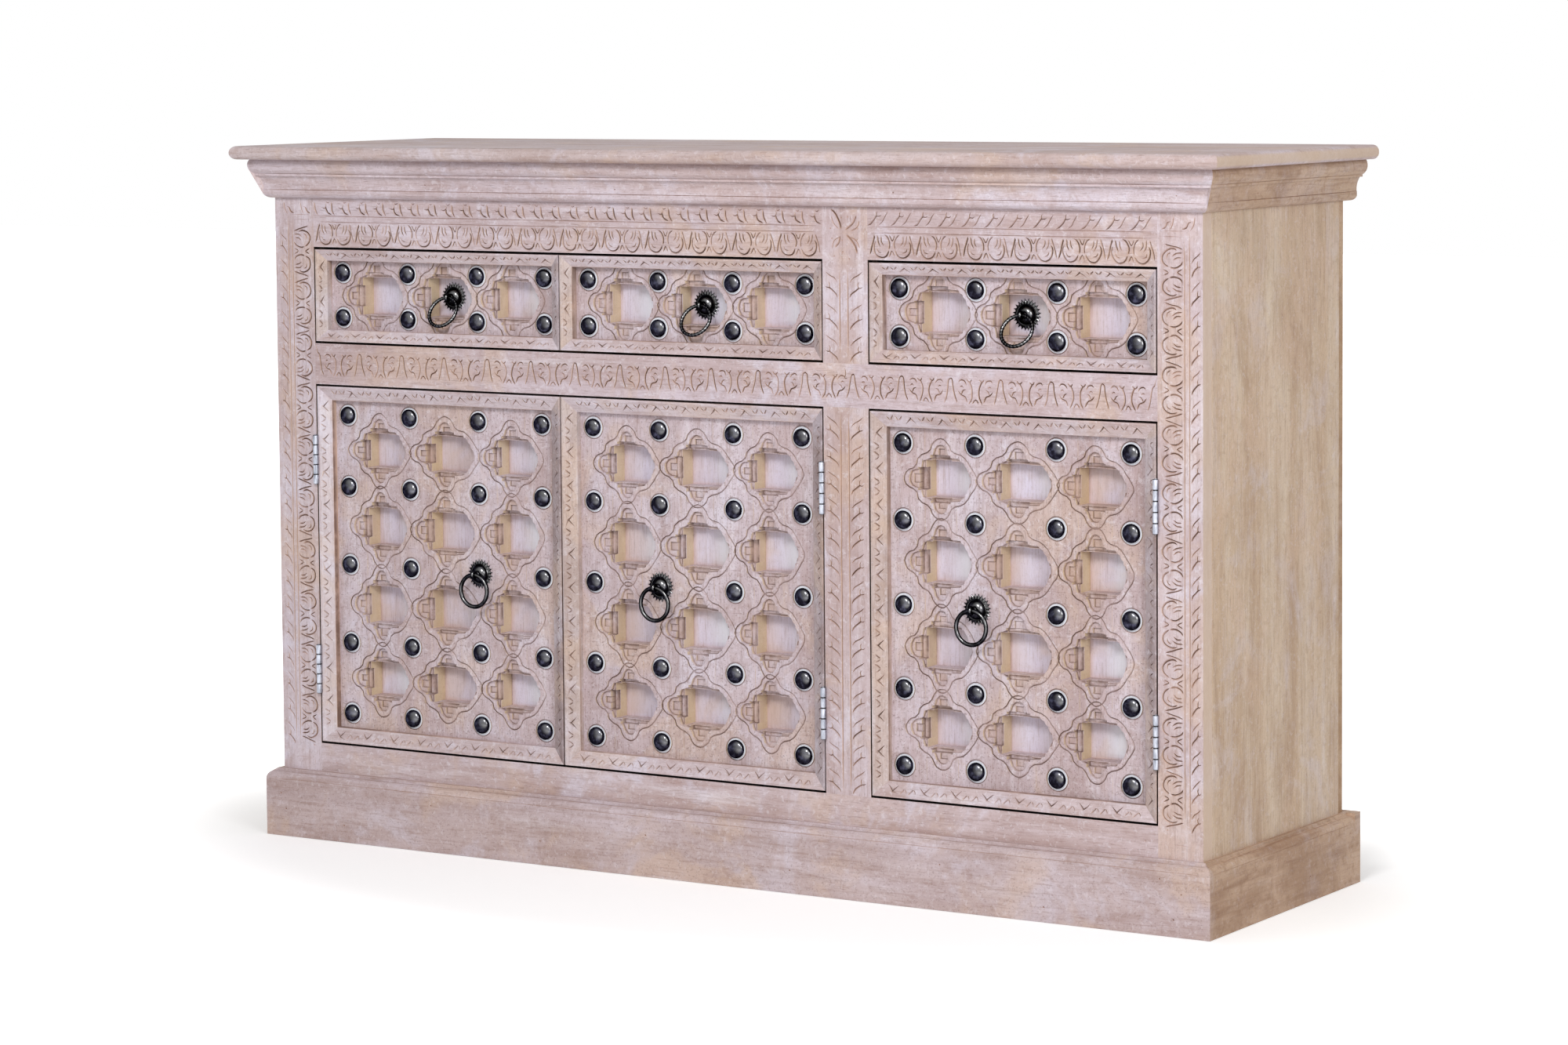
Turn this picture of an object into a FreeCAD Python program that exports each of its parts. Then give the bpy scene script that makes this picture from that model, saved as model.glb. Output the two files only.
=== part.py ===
import FreeCAD, Part

import math
import os

# Carved sideboard cabinet with three drawers over three doors.
# Millimetres. The origin is on the floor under the middle of the cabinet, the fronts face -Y and +Z is up.
# Depths are counted backwards from the front of the face frame, so a piece in front of it has a negative depth,
# and each piece is moved to the origin's frame as it is written.

# Whole cabinet
carcass_width = 1340.0
carcass_depth = 375.0
total_height = 900.0

# Heights of the face frame's bands, from the floor up. The doors take what the others leave.
plinth_height = 87.0
bottom_rail_height = 37.5
middle_rail_height = 54.5
drawer_opening_height = 122.5
top_rail_height = 64.0
cornice_height = 50.0
top_thickness = 17.5

# Widths and thicknesses of the boards
left_stile_width = 62.0
right_stile_width = 58.0
center_stile_width = 63.0
frame_thickness = 22.0
side_thickness = 18.0
back_thickness = 11.0
board_thickness = 16.0
rail_tuck = 27.0

# Top board
top_overhang_front = 44.0
top_overhang_side = 40.0
top_nose_radius = 8.2

# Cornice moulding, from the bottom bead to the top roll
cornice_reach = 25.0
cornice_bead_height = 11.0
cornice_bead_reach = 11.0
cornice_toe_reach = 3.0
cornice_shoulder_reach = 9.0
cornice_cove_height = 17.5
cornice_cove_reach = 15.0
cornice_fillet_height = 3.0
cornice_fillet_reach = 18.5
cornice_crown_reach = 23.0

# Plinth boards
plinth_thickness = 17.0
plinth_nose_height = 13.0
plinth_shoulder_height = 8.7
plinth_shoulder_reach = 13.3
plinth_lip_reach = 6.0
plinth_back_thickness = 16.0

# Inside the carcass
shelf_level_share = 0.4615
shelf_setback = 60.0
floor_drop = 2.0
partition_thickness = 18.0
back_lift = 20.0

# Fronts, common to doors and drawers
front_gap = 2.0
lattice_recess = 16.0
rebate_lip = 5.0
rebate_clearance = 0.3
border_edge = 2.0

# Door fronts
door_border_width = 18.5
door_border_thickness = 26.0
door_bevel_depth = 8.0
door_lattice_thickness = 26.0
door_board_thickness = 5.0

# Drawer fronts and boxes
drawer_border_width = 14.5
drawer_bevel_depth = 6.5
drawer_lattice_thickness = 26.0
drawer_front_thickness = 12.0
drawer_side_inset = 16.0
drawer_side_thickness = 12.0
drawer_side_height = 90.0
drawer_back_clearance = 16.0
drawer_bottom_thickness = 6.0
drawer_bottom_lift = 5.0
running_gap = 0.3

# Runners under the drawers, each with a guide strip beside the drawer
runner_thickness = 18.0
runner_bearing = 6.0
guide_height = 26.0
guide_width = 10.0
guide_gap = 1.0

# Lattice cells: a stud stands at each corner of a cell, and a flat web divides the recesses.
# Widths are shares of a front's width. A door's rows share the height between its outer studs.
middle_cell_share = 0.285
door_outer_cell_share = 0.2576
drawer_outer_cell_share = 0.272
inner_row_share = 0.5232
door_stud_margin = 19.0
drawer_stud_share = 0.2365
web_width = 9.0
recess_depth = 3.0
lobe_depth = 8.0

# Shape of a recess as shares of its half width and half height, for one quarter
recess_shares = ((0.97, 0.13), (0.52, 0.52), (0.13, 0.97))
lobe_length_share = 0.67
lobe_width_share = 0.28
opening_width_share = 0.488
opening_height_share = 0.472

# Dome studs, as rings of radius and rise in shares of the stud's own size
stud_radius = 11.3
stud_rise = 6.5
stud_sides = 8
stud_shoulder_radius_share = 0.66
stud_shoulder_rise_share = 0.72

# Ring pulls
plate_radius = 18.5
plate_thickness = 1.6
dome_radius = 14.0
dome_rise = 7.5
dome_shoulder_radius_share = 0.72
dome_shoulder_rise_share = 0.66
neck_radius = 5.0
pull_sides = 10
eye_stand_off = 15.0
eye_width = 5.0
eye_wall = 2.6
eye_sides = 6
ring_radius = 20.3
ring_rod_radius = 2.25
ring_slack = 0.4
ring_sides = 14
rod_sides = 6
drawer_ring_tilt = 30.0

# Butt hinges, with the knuckles standing proud of the fronts
hinge_height = 64.0
hinge_from_end = 95.0
hinge_leaf_thickness = 0.9
hinge_leaf_depth = 20.0
knuckle_radius = 3.4
knuckle_proud = 3.6
knuckle_count = 5
knuckle_gap = 0.3
knuckle_sides = 6
pin_radius = 1.5
pin_clearance = 0.1

# How far every cutting shape runs past the face that it cuts
overrun = 1.0

# Places worked out from the sizes above
half_width = carcass_width / 2
left_stile_edge = -half_width + left_stile_width
right_stile_edge = half_width - right_stile_width
front_width = (right_stile_edge - left_stile_edge - center_stile_width - 5 * front_gap) / 3
center_stile_left = left_stile_edge + 2 * front_width + 3 * front_gap
center_stile_right = center_stile_left + center_stile_width
side_inner = half_width - side_thickness
back_inner = carcass_depth - back_thickness
back_outer = carcass_depth + plinth_back_thickness
middle_depth = (back_outer - top_overhang_front) / 2
top_underside = total_height - top_thickness
cornice_base = top_underside - cornice_height
drawer_top = cornice_base - top_rail_height
drawer_base = drawer_top - drawer_opening_height
door_top = drawer_base - middle_rail_height
door_base = plinth_height + bottom_rail_height
door_opening_height = door_top - door_base
floor_top = door_base - floor_drop
shelf_height = door_base + door_opening_height * shelf_level_share
middle_cell_width = front_width * middle_cell_share
door_outer_cell_width = front_width * door_outer_cell_share
drawer_outer_cell_width = front_width * drawer_outer_cell_share
door_height = door_opening_height - 2 * front_gap
half_stud_height = door_height / 2 - door_border_width - door_stud_margin
inner_row_height = half_stud_height * inner_row_share
drawer_stud_rise = drawer_opening_height * drawer_stud_share
partition_middle = (center_stile_left + center_stile_right) / 2
partition_left = partition_middle - partition_thickness / 2
partition_right = partition_middle + partition_thickness / 2
door_middle_height = door_base + door_opening_height / 2
drawer_height = drawer_opening_height - 2 * front_gap
drawer_middle_height = drawer_base + drawer_opening_height / 2
drawer_border_thickness = lattice_recess + drawer_lattice_thickness
drawer_front_back = drawer_border_thickness + drawer_front_thickness
drawer_box_back = back_inner - drawer_back_clearance
drawer_box_base = drawer_base + front_gap
runner_top = drawer_box_base - running_gap
runner_base = runner_top - runner_thickness
front_starts = (
    left_stile_edge + front_gap,
    left_stile_edge + front_width + 2 * front_gap,
    center_stile_right + front_gap,
)


def box(x_range, y_range, z_range):
    """A board from its lowest to its highest place along each axis."""
    low = FreeCAD.Vector(x_range[0], y_range[0], z_range[0])
    spans = [high - start for start, high in (x_range, y_range, z_range)]
    return Part.makeBox(spans[0], spans[1], spans[2], low)


def prism(points, run):
    """A polygon carried along the run."""
    return Part.Face(Part.makePolygon(points + points[:1])).extrude(run)


def outline_face(start, steps, place):
    """A face from an outline whose steps are one point for a line, or a point on the way and an end for an arc."""
    edges = []
    at = start
    for step in steps:
        ends = [place(*point) for point in (at, *step)]
        edge = Part.Arc(*ends) if len(step) == 2 else Part.LineSegment(*ends)
        edges.append(edge.toShape())
        at = step[-1]
    return Part.Face(Part.Wire(edges))


def faceted_solid(loops):
    """A closed solid whose loops of points follow each other, with the first and last loop capped."""
    faces = []
    for lower, upper in zip(loops, loops[1:]):
        for i in range(len(lower)):
            j = (i + 1) % len(lower)
            faces.append(Part.Face(Part.makePolygon([lower[i], lower[j], upper[j], upper[i], lower[i]])))
    for loop in (loops[0], loops[-1]):
        faces.append(Part.Face(Part.makePolygon(loop + loop[:1])))
    return solid_of(faces)


def solid_of(faces):
    """A solid with its outside outwards from the faces that close it."""
    solid = Part.Solid(Part.makeShell(faces))
    if solid.Volume < 0:
        solid.reverse()
    return solid


def polygon_points(centre, radius, sides, across, up):
    """Corners of a regular polygon round the centre, with a flat side towards each of the two directions."""
    points = []
    for i in range(sides):
        turn = 2 * math.pi * (i + 0.5) / sides
        points.append(centre + across * (radius * math.cos(turn)) + up * (radius * math.sin(turn)))
    return points


def turned_piece(foot, steps, sides):
    """A turned metal piece that stands on a face and grows towards -Y, from steps of radius and rise."""
    loops = []
    for radius, rise in steps:
        centre = foot - FreeCAD.Vector(0, rise, 0)
        loops.append(polygon_points(centre, radius, sides, FreeCAD.Vector(1, 0, 0), FreeCAD.Vector(0, 0, 1)))
    return faceted_solid(loops)


def export(name, pieces):
    """Writes one node, a single solid or a group of separate ones."""
    shape = pieces[0] if len(pieces) == 1 else Part.makeCompound(pieces)
    shape.translate(FreeCAD.Vector(0, -middle_depth, 0))
    shape.exportStep(f"parts/{name}.step")


def mirrored(shape):
    """The same shape at the other end of the cabinet."""
    return shape.mirror(FreeCAD.Vector(0, 0, 0), FreeCAD.Vector(1, 0, 0))


def mitre_cutter(keep_side, reach, base, height):
    """Removes what lies past the diagonal at the right front corner, from a side run or from the front run."""
    far = reach + overrun
    corner = FreeCAD.Vector(half_width, 0, base - overrun)
    inner = corner + FreeCAD.Vector(-far, far, 0)
    outer = corner + FreeCAD.Vector(far, -far, 0)
    past = corner + FreeCAD.Vector(-far, -far, 0) if keep_side else corner + FreeCAD.Vector(far, far, 0)
    return prism([inner, outer, past], FreeCAD.Vector(0, 0, height + 2 * overrun))


def mitred_runs(start, steps, reach, base, height, back_end):
    """A moulding round the carcass: the front run and its two returns, mitred at the corners."""
    front_end = half_width + reach
    front_face = outline_face(start, steps, lambda r, h: FreeCAD.Vector(-front_end, -r, base + h))
    front = front_face.extrude(FreeCAD.Vector(2 * front_end, 0, 0))
    front_cutter = mitre_cutter(False, reach, base, height)
    front = front.cut(front_cutter).cut(mirrored(front_cutter))
    side_face = outline_face(start, steps, lambda r, h: FreeCAD.Vector(half_width + r, -reach, base + h))
    side = side_face.extrude(FreeCAD.Vector(0, back_end + reach, 0))
    side = side.cut(mitre_cutter(True, reach, base, height))
    return [front, side, mirrored(side)]


def make_top_board():
    """The top, with a round nose on the front and both ends and a square back."""
    edge_x = half_width + top_overhang_side
    board = box((-edge_x, edge_x), (-top_overhang_front, back_outer), (top_underside, total_height))
    nosed = []
    for edge in board.Edges:
        bounds = edge.BoundBox
        level = bounds.ZLength < overrun
        at_back = bounds.YLength < overrun and bounds.YMax > back_outer - overrun
        if level and not at_back:
            nosed.append(edge)
    export("top_board", [board.makeFillet(top_nose_radius, nosed)])


def make_cornice():
    """Bead, cove, fillet and a round top roll."""
    cove_top = cornice_bead_height + cornice_cove_height
    fillet_top = cove_top + cornice_fillet_height
    roll_height = cornice_height - fillet_top
    roll_middle = fillet_top + roll_height / 2
    bead_middle = cornice_bead_height / 2
    steps = [
        ((cornice_toe_reach, 0),),
        ((cornice_shoulder_reach, bead_middle / 2), (cornice_bead_reach, bead_middle)),
        ((cornice_bead_reach, cornice_bead_height),),
        ((cornice_bead_reach, cornice_bead_height + cornice_cove_height / 2), (cornice_cove_reach, cove_top)),
        ((cornice_fillet_reach, cove_top),),
        ((cornice_fillet_reach, fillet_top),),
        ((cornice_reach, roll_middle), (cornice_crown_reach, cornice_height)),
        ((0, cornice_height),),
        ((0, 0),),
    ]
    export("cornice", mitred_runs((0, 0), steps, cornice_reach, cornice_base, cornice_height, back_outer))


def make_plinth():
    """Boards round the foot, with a rounded top edge that steps back to the carcass."""
    nose_base = plinth_height - plinth_nose_height
    steps = [
        ((plinth_thickness, 0),),
        ((plinth_thickness, nose_base),),
        ((plinth_shoulder_reach, nose_base + plinth_shoulder_height), (plinth_lip_reach, plinth_height)),
        ((0, plinth_height),),
        ((0, 0),),
    ]
    runs = mitred_runs((0, 0), steps, plinth_thickness, 0, plinth_height, carcass_depth)
    board_end = half_width + plinth_thickness
    back = box((-board_end, board_end), (carcass_depth, back_outer), (0, plinth_height))
    export("plinth", runs + [back])


def make_carcass_boards():
    """The plain boards: ends, back, floor, partition and shelves."""
    depth = (frame_thickness, back_inner)
    export("side_panel_left", [box((-half_width, -side_inner), depth, (0, top_underside))])
    export("side_panel_right", [box((side_inner, half_width), depth, (0, top_underside))])
    export("back_panel", [box((-half_width, half_width), (back_inner, carcass_depth), (back_lift, top_underside))])
    export("bottom_board", [box((-side_inner, side_inner), depth, (floor_top - board_thickness, floor_top))])
    export("partition", [box((partition_left, partition_right), depth, (floor_top, top_underside))])
    shelf_depth = (shelf_setback, back_inner)
    shelf_level = (shelf_height, shelf_height + board_thickness)
    left_shelf = box((-side_inner, partition_left), shelf_depth, shelf_level)
    right_shelf = box((partition_right, side_inner), shelf_depth, shelf_level)
    export("shelves", [left_shelf, right_shelf])


def make_face_frame():
    """The uprights and rails of the front. The middle rail runs across the centre stile."""
    depth = (0, frame_thickness)
    export("stile_left", [box((-half_width, left_stile_edge), depth, (0, top_underside))])
    export("stile_right", [box((right_stile_edge, half_width), depth, (0, top_underside))])
    center = (center_stile_left, center_stile_right)
    export("stile_center", [
        box(center, depth, (door_base, door_top)),
        box(center, depth, (drawer_base, top_underside)),
    ])
    export("rail_top", [
        box((left_stile_edge, center_stile_left), depth, (drawer_top, top_underside)),
        box((center_stile_right, right_stile_edge), depth, (drawer_top, top_underside)),
    ])
    between = (left_stile_edge, right_stile_edge)
    export("rail_middle", [box(between, depth, (door_top, drawer_base))])
    export("rail_bottom", [box(between, depth, (plinth_height - rail_tuck, door_base))])


def make_runners():
    """Runners from the carcass boards to under the drawer sides, with a guide strip beside each drawer box."""
    box_starts = [start + drawer_side_inset for start in front_starts]
    box_ends = [start + front_width - drawer_side_inset for start in front_starts]
    bearing = drawer_side_thickness + runner_bearing
    runners = []
    for wall, drawer_side, outward in (
        (-side_inner, box_starts[0], -1),
        (partition_left, box_ends[1], 1),
        (partition_right, box_starts[2], -1),
        (side_inner, box_ends[2], 1),
    ):
        guide_face = drawer_side + outward * guide_gap
        runners.append(runner_solid(
            sorted((wall, drawer_side - outward * bearing)),
            sorted((guide_face, guide_face + outward * guide_width)),
        ))
    runners.append(runner_solid(
        (box_ends[0] - bearing, box_starts[1] + bearing),
        (box_ends[0] + guide_gap, box_starts[1] - guide_gap),
    ))
    export("drawer_runners", runners)


def runner_solid(strip, guide):
    """One runner: a flat strip with an upstanding guide behind the drawer front."""
    bearer = box(strip, (frame_thickness, back_inner), (runner_base, runner_top))
    guide_depth = (drawer_front_back + guide_gap, back_inner)
    return bearer.fuse(box(guide, guide_depth, (runner_top, runner_top + guide_height))).removeSplitter()


def border_solids(x_range, z_range, width, thickness, bevel):
    """Four mitred border mouldings round a front, with a carved slope inwards and a rebate for the lattice."""
    section = [
        (0, 0), (border_edge, 0), (width, bevel), (width, lattice_recess),
        (width - rebate_lip, lattice_recess), (width - rebate_lip, thickness), (0, thickness),
    ]
    corners = [
        (x_range[0], z_range[0], 1, 1), (x_range[1], z_range[0], -1, 1),
        (x_range[1], z_range[1], -1, -1), (x_range[0], z_range[1], 1, -1),
    ]
    solids = []
    for here, there in zip(corners, corners[1:] + corners[:1]):
        loops = []
        for x, z, inward_x, inward_z in (here, there):
            loops.append([FreeCAD.Vector(x + inward_x * w, y, z + inward_z * w) for w, y in section])
        solids.append(faceted_solid(loops))
    return solids


def cell_cutters(middle_x, middle_z, width, height, thickness):
    """What one lattice cell takes away: the recess, the lobes of the quatrefoil and the square opening."""
    half_w = (width - web_width) / 2
    half_h = (height - web_width) / 2

    def cut(points, depth):
        face_y = lattice_recess - overrun
        corners = [FreeCAD.Vector(middle_x + x, face_y, middle_z + z) for x, z in points]
        return prism(corners, FreeCAD.Vector(0, depth + overrun, 0))

    quarters = ((1, 1), (-1, 1), (-1, -1), (1, -1))
    recess = []
    for number, (sign_x, sign_z) in enumerate(quarters):
        shares = recess_shares if number % 2 == 0 else recess_shares[::-1]
        recess += [(sign_x * half_w * u, sign_z * half_h * v) for u, v in shares]
    lobe_across = [
        (sign_x * half_w * lobe_length_share, sign_z * half_h * lobe_width_share) for sign_x, sign_z in quarters
    ]
    lobe_up = [
        (sign_x * half_w * lobe_width_share, sign_z * half_h * lobe_length_share) for sign_x, sign_z in quarters
    ]
    opening = [
        (sign_x * half_w * opening_width_share, sign_z * half_h * opening_height_share) for sign_x, sign_z in quarters
    ]
    return [
        cut(recess, recess_depth),
        cut(lobe_across, lobe_depth),
        cut(lobe_up, lobe_depth),
        cut(opening, thickness + overrun),
    ]


def lattice_solid(x_range, z_range, border_width, thickness, columns, rows):
    """The lattice panel, seated in the border's rebate, with a cell between each four studs."""
    inset = border_width - rebate_lip + rebate_clearance
    plate = box(
        (x_range[0] + inset, x_range[1] - inset),
        (lattice_recess, lattice_recess + thickness),
        (z_range[0] + inset, z_range[1] - inset),
    )
    cutters = []
    for left, right in zip(columns, columns[1:]):
        for low, high in zip(rows, rows[1:]):
            cutters += cell_cutters((left + right) / 2, (low + high) / 2, right - left, high - low, thickness)
    return plate.cut(Part.makeCompound(cutters))


def stud_solid(x, z):
    """A dome stud on the face of the lattice."""
    steps = (
        (stud_radius, 0),
        (stud_radius * stud_shoulder_radius_share, stud_rise * stud_shoulder_rise_share),
    )
    loops = []
    for radius, rise in steps:
        centre = FreeCAD.Vector(x, lattice_recess - rise, z)
        loops.append(polygon_points(centre, radius, stud_sides, FreeCAD.Vector(1, 0, 0), FreeCAD.Vector(0, 0, 1)))
    tip = FreeCAD.Vector(x, lattice_recess - stud_rise, z)
    faces = [Part.Face(Part.makePolygon(loops[0] + loops[0][:1]))]
    for i in range(stud_sides):
        j = (i + 1) % stud_sides
        faces.append(Part.Face(Part.makePolygon([loops[0][i], loops[0][j], loops[1][j], loops[1][i], loops[0][i]])))
        faces.append(Part.Face(Part.makePolygon([loops[1][i], loops[1][j], tip, loops[1][i]])))
    return solid_of(faces)


def rosette_solid(x, foot_y, z):
    """Back plate, dome and a flat eye that the ring hangs in."""
    steps = (
        (plate_radius, 0),
        (plate_radius, plate_thickness),
        (dome_radius, plate_thickness),
        (dome_radius * dome_shoulder_radius_share, plate_thickness + dome_rise * dome_shoulder_rise_share),
        (neck_radius, plate_thickness + dome_rise),
    )
    body = turned_piece(FreeCAD.Vector(x, foot_y, z), steps, pull_sides)
    eye_bore = (ring_rod_radius + ring_slack) / math.cos(math.pi / eye_sides)
    eye_radius = eye_bore + eye_wall
    across = FreeCAD.Vector(0, 1, 0)
    up = FreeCAD.Vector(0, 0, 1)
    eye_centre = FreeCAD.Vector(x - eye_width / 2, foot_y - eye_stand_off, z)
    run = FreeCAD.Vector(eye_width, 0, 0)
    eye = prism(polygon_points(eye_centre, eye_radius, eye_sides, across, up), run)
    stem = box(
        (x - eye_width / 2, x + eye_width / 2),
        (foot_y - eye_stand_off, foot_y - plate_thickness),
        (z - neck_radius, z + neck_radius),
    )
    bore_start = eye_centre - FreeCAD.Vector(overrun, 0, 0)
    bore_run = FreeCAD.Vector(eye_width + 2 * overrun, 0, 0)
    bore = prism(polygon_points(bore_start, eye_bore, eye_sides, across, up), bore_run)
    return body.fuse([eye, stem]).cut(bore).removeSplitter()


def ring_solid(x, eye_y, z, tilt):
    """A ring that hangs from the eye, swung outwards by the tilt in degrees."""
    down = FreeCAD.Vector(0, -math.sin(math.radians(tilt)), -math.cos(math.radians(tilt)))
    across = FreeCAD.Vector(1, 0, 0)
    normal = down.cross(across)
    middle = FreeCAD.Vector(x, eye_y, z) + down * ring_radius
    loops = []
    for i in range(ring_sides):
        turn = 2 * math.pi * (i + 0.5) / ring_sides
        outward = across * math.sin(turn) - down * math.cos(turn)
        centre = middle + outward * (ring_radius / math.cos(math.pi / ring_sides))
        loops.append(polygon_points(centre, ring_rod_radius, rod_sides, outward, normal))
    faces = []
    for here, there in zip(loops, loops[1:] + loops[:1]):
        for i in range(rod_sides):
            j = (i + 1) % rod_sides
            faces.append(Part.Face(Part.makePolygon([here[i], here[j], there[j], there[i], here[i]])))
    return solid_of(faces)


def hinge_heights():
    """Middles of the two hinges of a door."""
    low = door_base + front_gap + hinge_from_end
    high = door_top - front_gap - hinge_from_end
    return (low, high)


def hinge_leaf(axis_x, side, middle, moving):
    """One leaf of a butt hinge with its own knuckles: the fixed leaf has the outer and middle ones."""
    axis = FreeCAD.Vector(axis_x, -knuckle_proud, middle - hinge_height / 2)
    across = FreeCAD.Vector(1, 0, 0)
    back = FreeCAD.Vector(0, 1, 0)
    inner = axis_x + side * (front_gap / 2 - hinge_leaf_thickness)
    plate_x = sorted((inner, inner + side * hinge_leaf_thickness))
    leaf = box(plate_x, (0, hinge_leaf_depth), (middle - hinge_height / 2, middle + hinge_height / 2))
    pitch = hinge_height / knuckle_count
    bore_radius = (pin_radius + pin_clearance) / math.cos(math.pi / knuckle_sides)
    additions = []
    for number in range(knuckle_count):
        if (number % 2 == 1) != moving:
            continue
        foot = axis + FreeCAD.Vector(0, 0, number * pitch + knuckle_gap / 2)
        run = FreeCAD.Vector(0, 0, pitch - knuckle_gap)
        additions.append(prism(polygon_points(foot, knuckle_radius, knuckle_sides, across, back), run))
        additions.append(box(plate_x, (-knuckle_proud, 0), (foot.z, foot.z + run.z)))
    bore_foot = axis - FreeCAD.Vector(0, 0, overrun)
    bore_run = FreeCAD.Vector(0, 0, hinge_height + 2 * overrun)
    bore = prism(polygon_points(bore_foot, bore_radius, knuckle_sides, across, back), bore_run)
    return leaf.fuse(additions).cut(bore).removeSplitter()


def hinge_pin(axis_x, middle):
    """A pin through all the knuckles of one hinge."""
    foot = FreeCAD.Vector(axis_x, -knuckle_proud, middle - hinge_height / 2)
    points = polygon_points(foot, pin_radius, knuckle_sides, FreeCAD.Vector(1, 0, 0), FreeCAD.Vector(0, 1, 0))
    return prism(points, FreeCAD.Vector(0, 0, hinge_height))


def make_front(name, start, z_range, border, thickness, columns, rows, pull):
    """What a door and a drawer share: border, lattice, studs, rosette and ring."""
    x_range = (start, start + front_width)
    width, border_thickness, bevel = border
    pull_x, foot_y, pull_z, tilt = pull
    export(f"{name}_border", border_solids(x_range, z_range, width, border_thickness, bevel))
    stud_rows, cell_rows = rows
    export(f"{name}_lattice", [lattice_solid(x_range, z_range, width, thickness, columns, cell_rows)])
    studs = [
        stud_solid(x, z)
        for x in columns
        for z in stud_rows
        if (x, z) != (pull_x, pull_z)
    ]
    export(f"{name}_studs", studs)
    export(f"{name}_rosette", [rosette_solid(pull_x, foot_y, pull_z)])
    export(f"{name}_ring", [ring_solid(pull_x, foot_y - eye_stand_off, pull_z, tilt)])


def make_door(number, start, hinge_side, pull_column):
    """A door: the common front, its backing board and the moving leaves of its two hinges."""
    name = f"door_{number}"
    middle = start + front_width / 2
    half_middle = middle_cell_width / 2
    half_outer = half_middle + door_outer_cell_width
    columns = [middle + offset for offset in (-half_outer, -half_middle, half_middle, half_outer)]
    row_offsets = (-half_stud_height, -inner_row_height, 0, inner_row_height, half_stud_height)
    rows = [door_middle_height + offset for offset in row_offsets]
    z_range = (door_base + front_gap, door_top - front_gap)
    border = (door_border_width, door_border_thickness, door_bevel_depth)
    pull = (columns[pull_column], lattice_recess, door_middle_height, 0)
    make_front(name, start, z_range, border, door_lattice_thickness, columns, (rows, rows), pull)
    inset = door_border_width - rebate_lip + rebate_clearance
    board_front = lattice_recess + door_lattice_thickness
    export(f"{name}_board", [box(
        (start + inset, start + front_width - inset),
        (board_front, board_front + door_board_thickness),
        (z_range[0] + inset, z_range[1] - inset),
    )])
    axis_x = hinge_axis(start, hinge_side)
    leaves = [hinge_leaf(axis_x, -hinge_side, middle_z, True) for middle_z in hinge_heights()]
    export(f"{name}_hinge_leaves", leaves)


def hinge_axis(start, hinge_side):
    """The hinge pins stand in the middle of the gap between the door and its stile."""
    edge = start if hinge_side < 0 else start + front_width
    return edge + hinge_side * front_gap / 2


def make_fixed_hinge_parts(door_sides):
    """The leaves on the stiles, and the pins."""
    leaves = []
    pins = []
    for start, hinge_side in door_sides:
        axis_x = hinge_axis(start, hinge_side)
        for middle_z in hinge_heights():
            leaves.append(hinge_leaf(axis_x, hinge_side, middle_z, False))
            pins.append(hinge_pin(axis_x, middle_z))
    export("hinge_frame_leaves", leaves)
    export("hinge_pins", pins)


def make_drawer(number, start):
    """A drawer: the common front, its front board and the box behind."""
    name = f"drawer_{number}"
    middle = start + front_width / 2
    half_middle = middle_cell_width / 2
    half_outer = half_middle + drawer_outer_cell_width
    columns = [middle + offset for offset in (-half_outer, -half_middle, half_middle, half_outer)]
    stud_rows = [drawer_middle_height - drawer_stud_rise, drawer_middle_height + drawer_stud_rise]
    half_cell = drawer_height / 2 - drawer_border_width + web_width / 2
    cell_rows = [drawer_middle_height - half_cell, drawer_middle_height + half_cell]
    z_range = (drawer_base + front_gap, drawer_top - front_gap)
    border = (drawer_border_width, drawer_border_thickness, drawer_bevel_depth)
    pull = (middle, drawer_border_thickness, drawer_middle_height, drawer_ring_tilt)
    make_front(name, start, z_range, border, drawer_lattice_thickness, columns, (stud_rows, cell_rows), pull)
    export(f"{name}_front", [box((start, start + front_width), (drawer_border_thickness, drawer_front_back), z_range)])
    export(f"{name}_box", drawer_box_solids(start + drawer_side_inset, start + front_width - drawer_side_inset))


def drawer_box_solids(left, right):
    """Two sides on the runners, a back between them and a bottom above the runners."""
    depth = (drawer_front_back, drawer_box_back)
    level = (drawer_box_base, drawer_box_base + drawer_side_height)
    between = (left + drawer_side_thickness, right - drawer_side_thickness)
    back_front = depth[1] - drawer_side_thickness
    bottom_base = drawer_box_base + drawer_bottom_lift
    return [
        box((left, between[0]), depth, level),
        box((between[1], right), depth, level),
        box(between, (back_front, depth[1]), level),
        box(between, (depth[0], back_front), (bottom_base, bottom_base + drawer_bottom_thickness)),
    ]


def main():
    os.makedirs("parts", exist_ok=True)
    make_top_board()
    make_cornice()
    make_plinth()
    make_carcass_boards()
    make_face_frame()
    make_runners()
    # Doors one and two open from the middle of the wide bay, door three opens from the centre stile.
    hinge_sides = (-1, 1, 1)
    pull_columns = (2, 1, 1)
    for index, start in enumerate(front_starts):
        make_door(index + 1, start, hinge_sides[index], pull_columns[index])
        make_drawer(index + 1, start)
    make_fixed_hinge_parts(list(zip(front_starts, hinge_sides)))


main()
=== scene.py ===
import math
import random

import bmesh
import bpy
import numpy as np
from mathutils import Matrix, Vector
from mathutils.geometry import delaunay_2d_cdt


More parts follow.
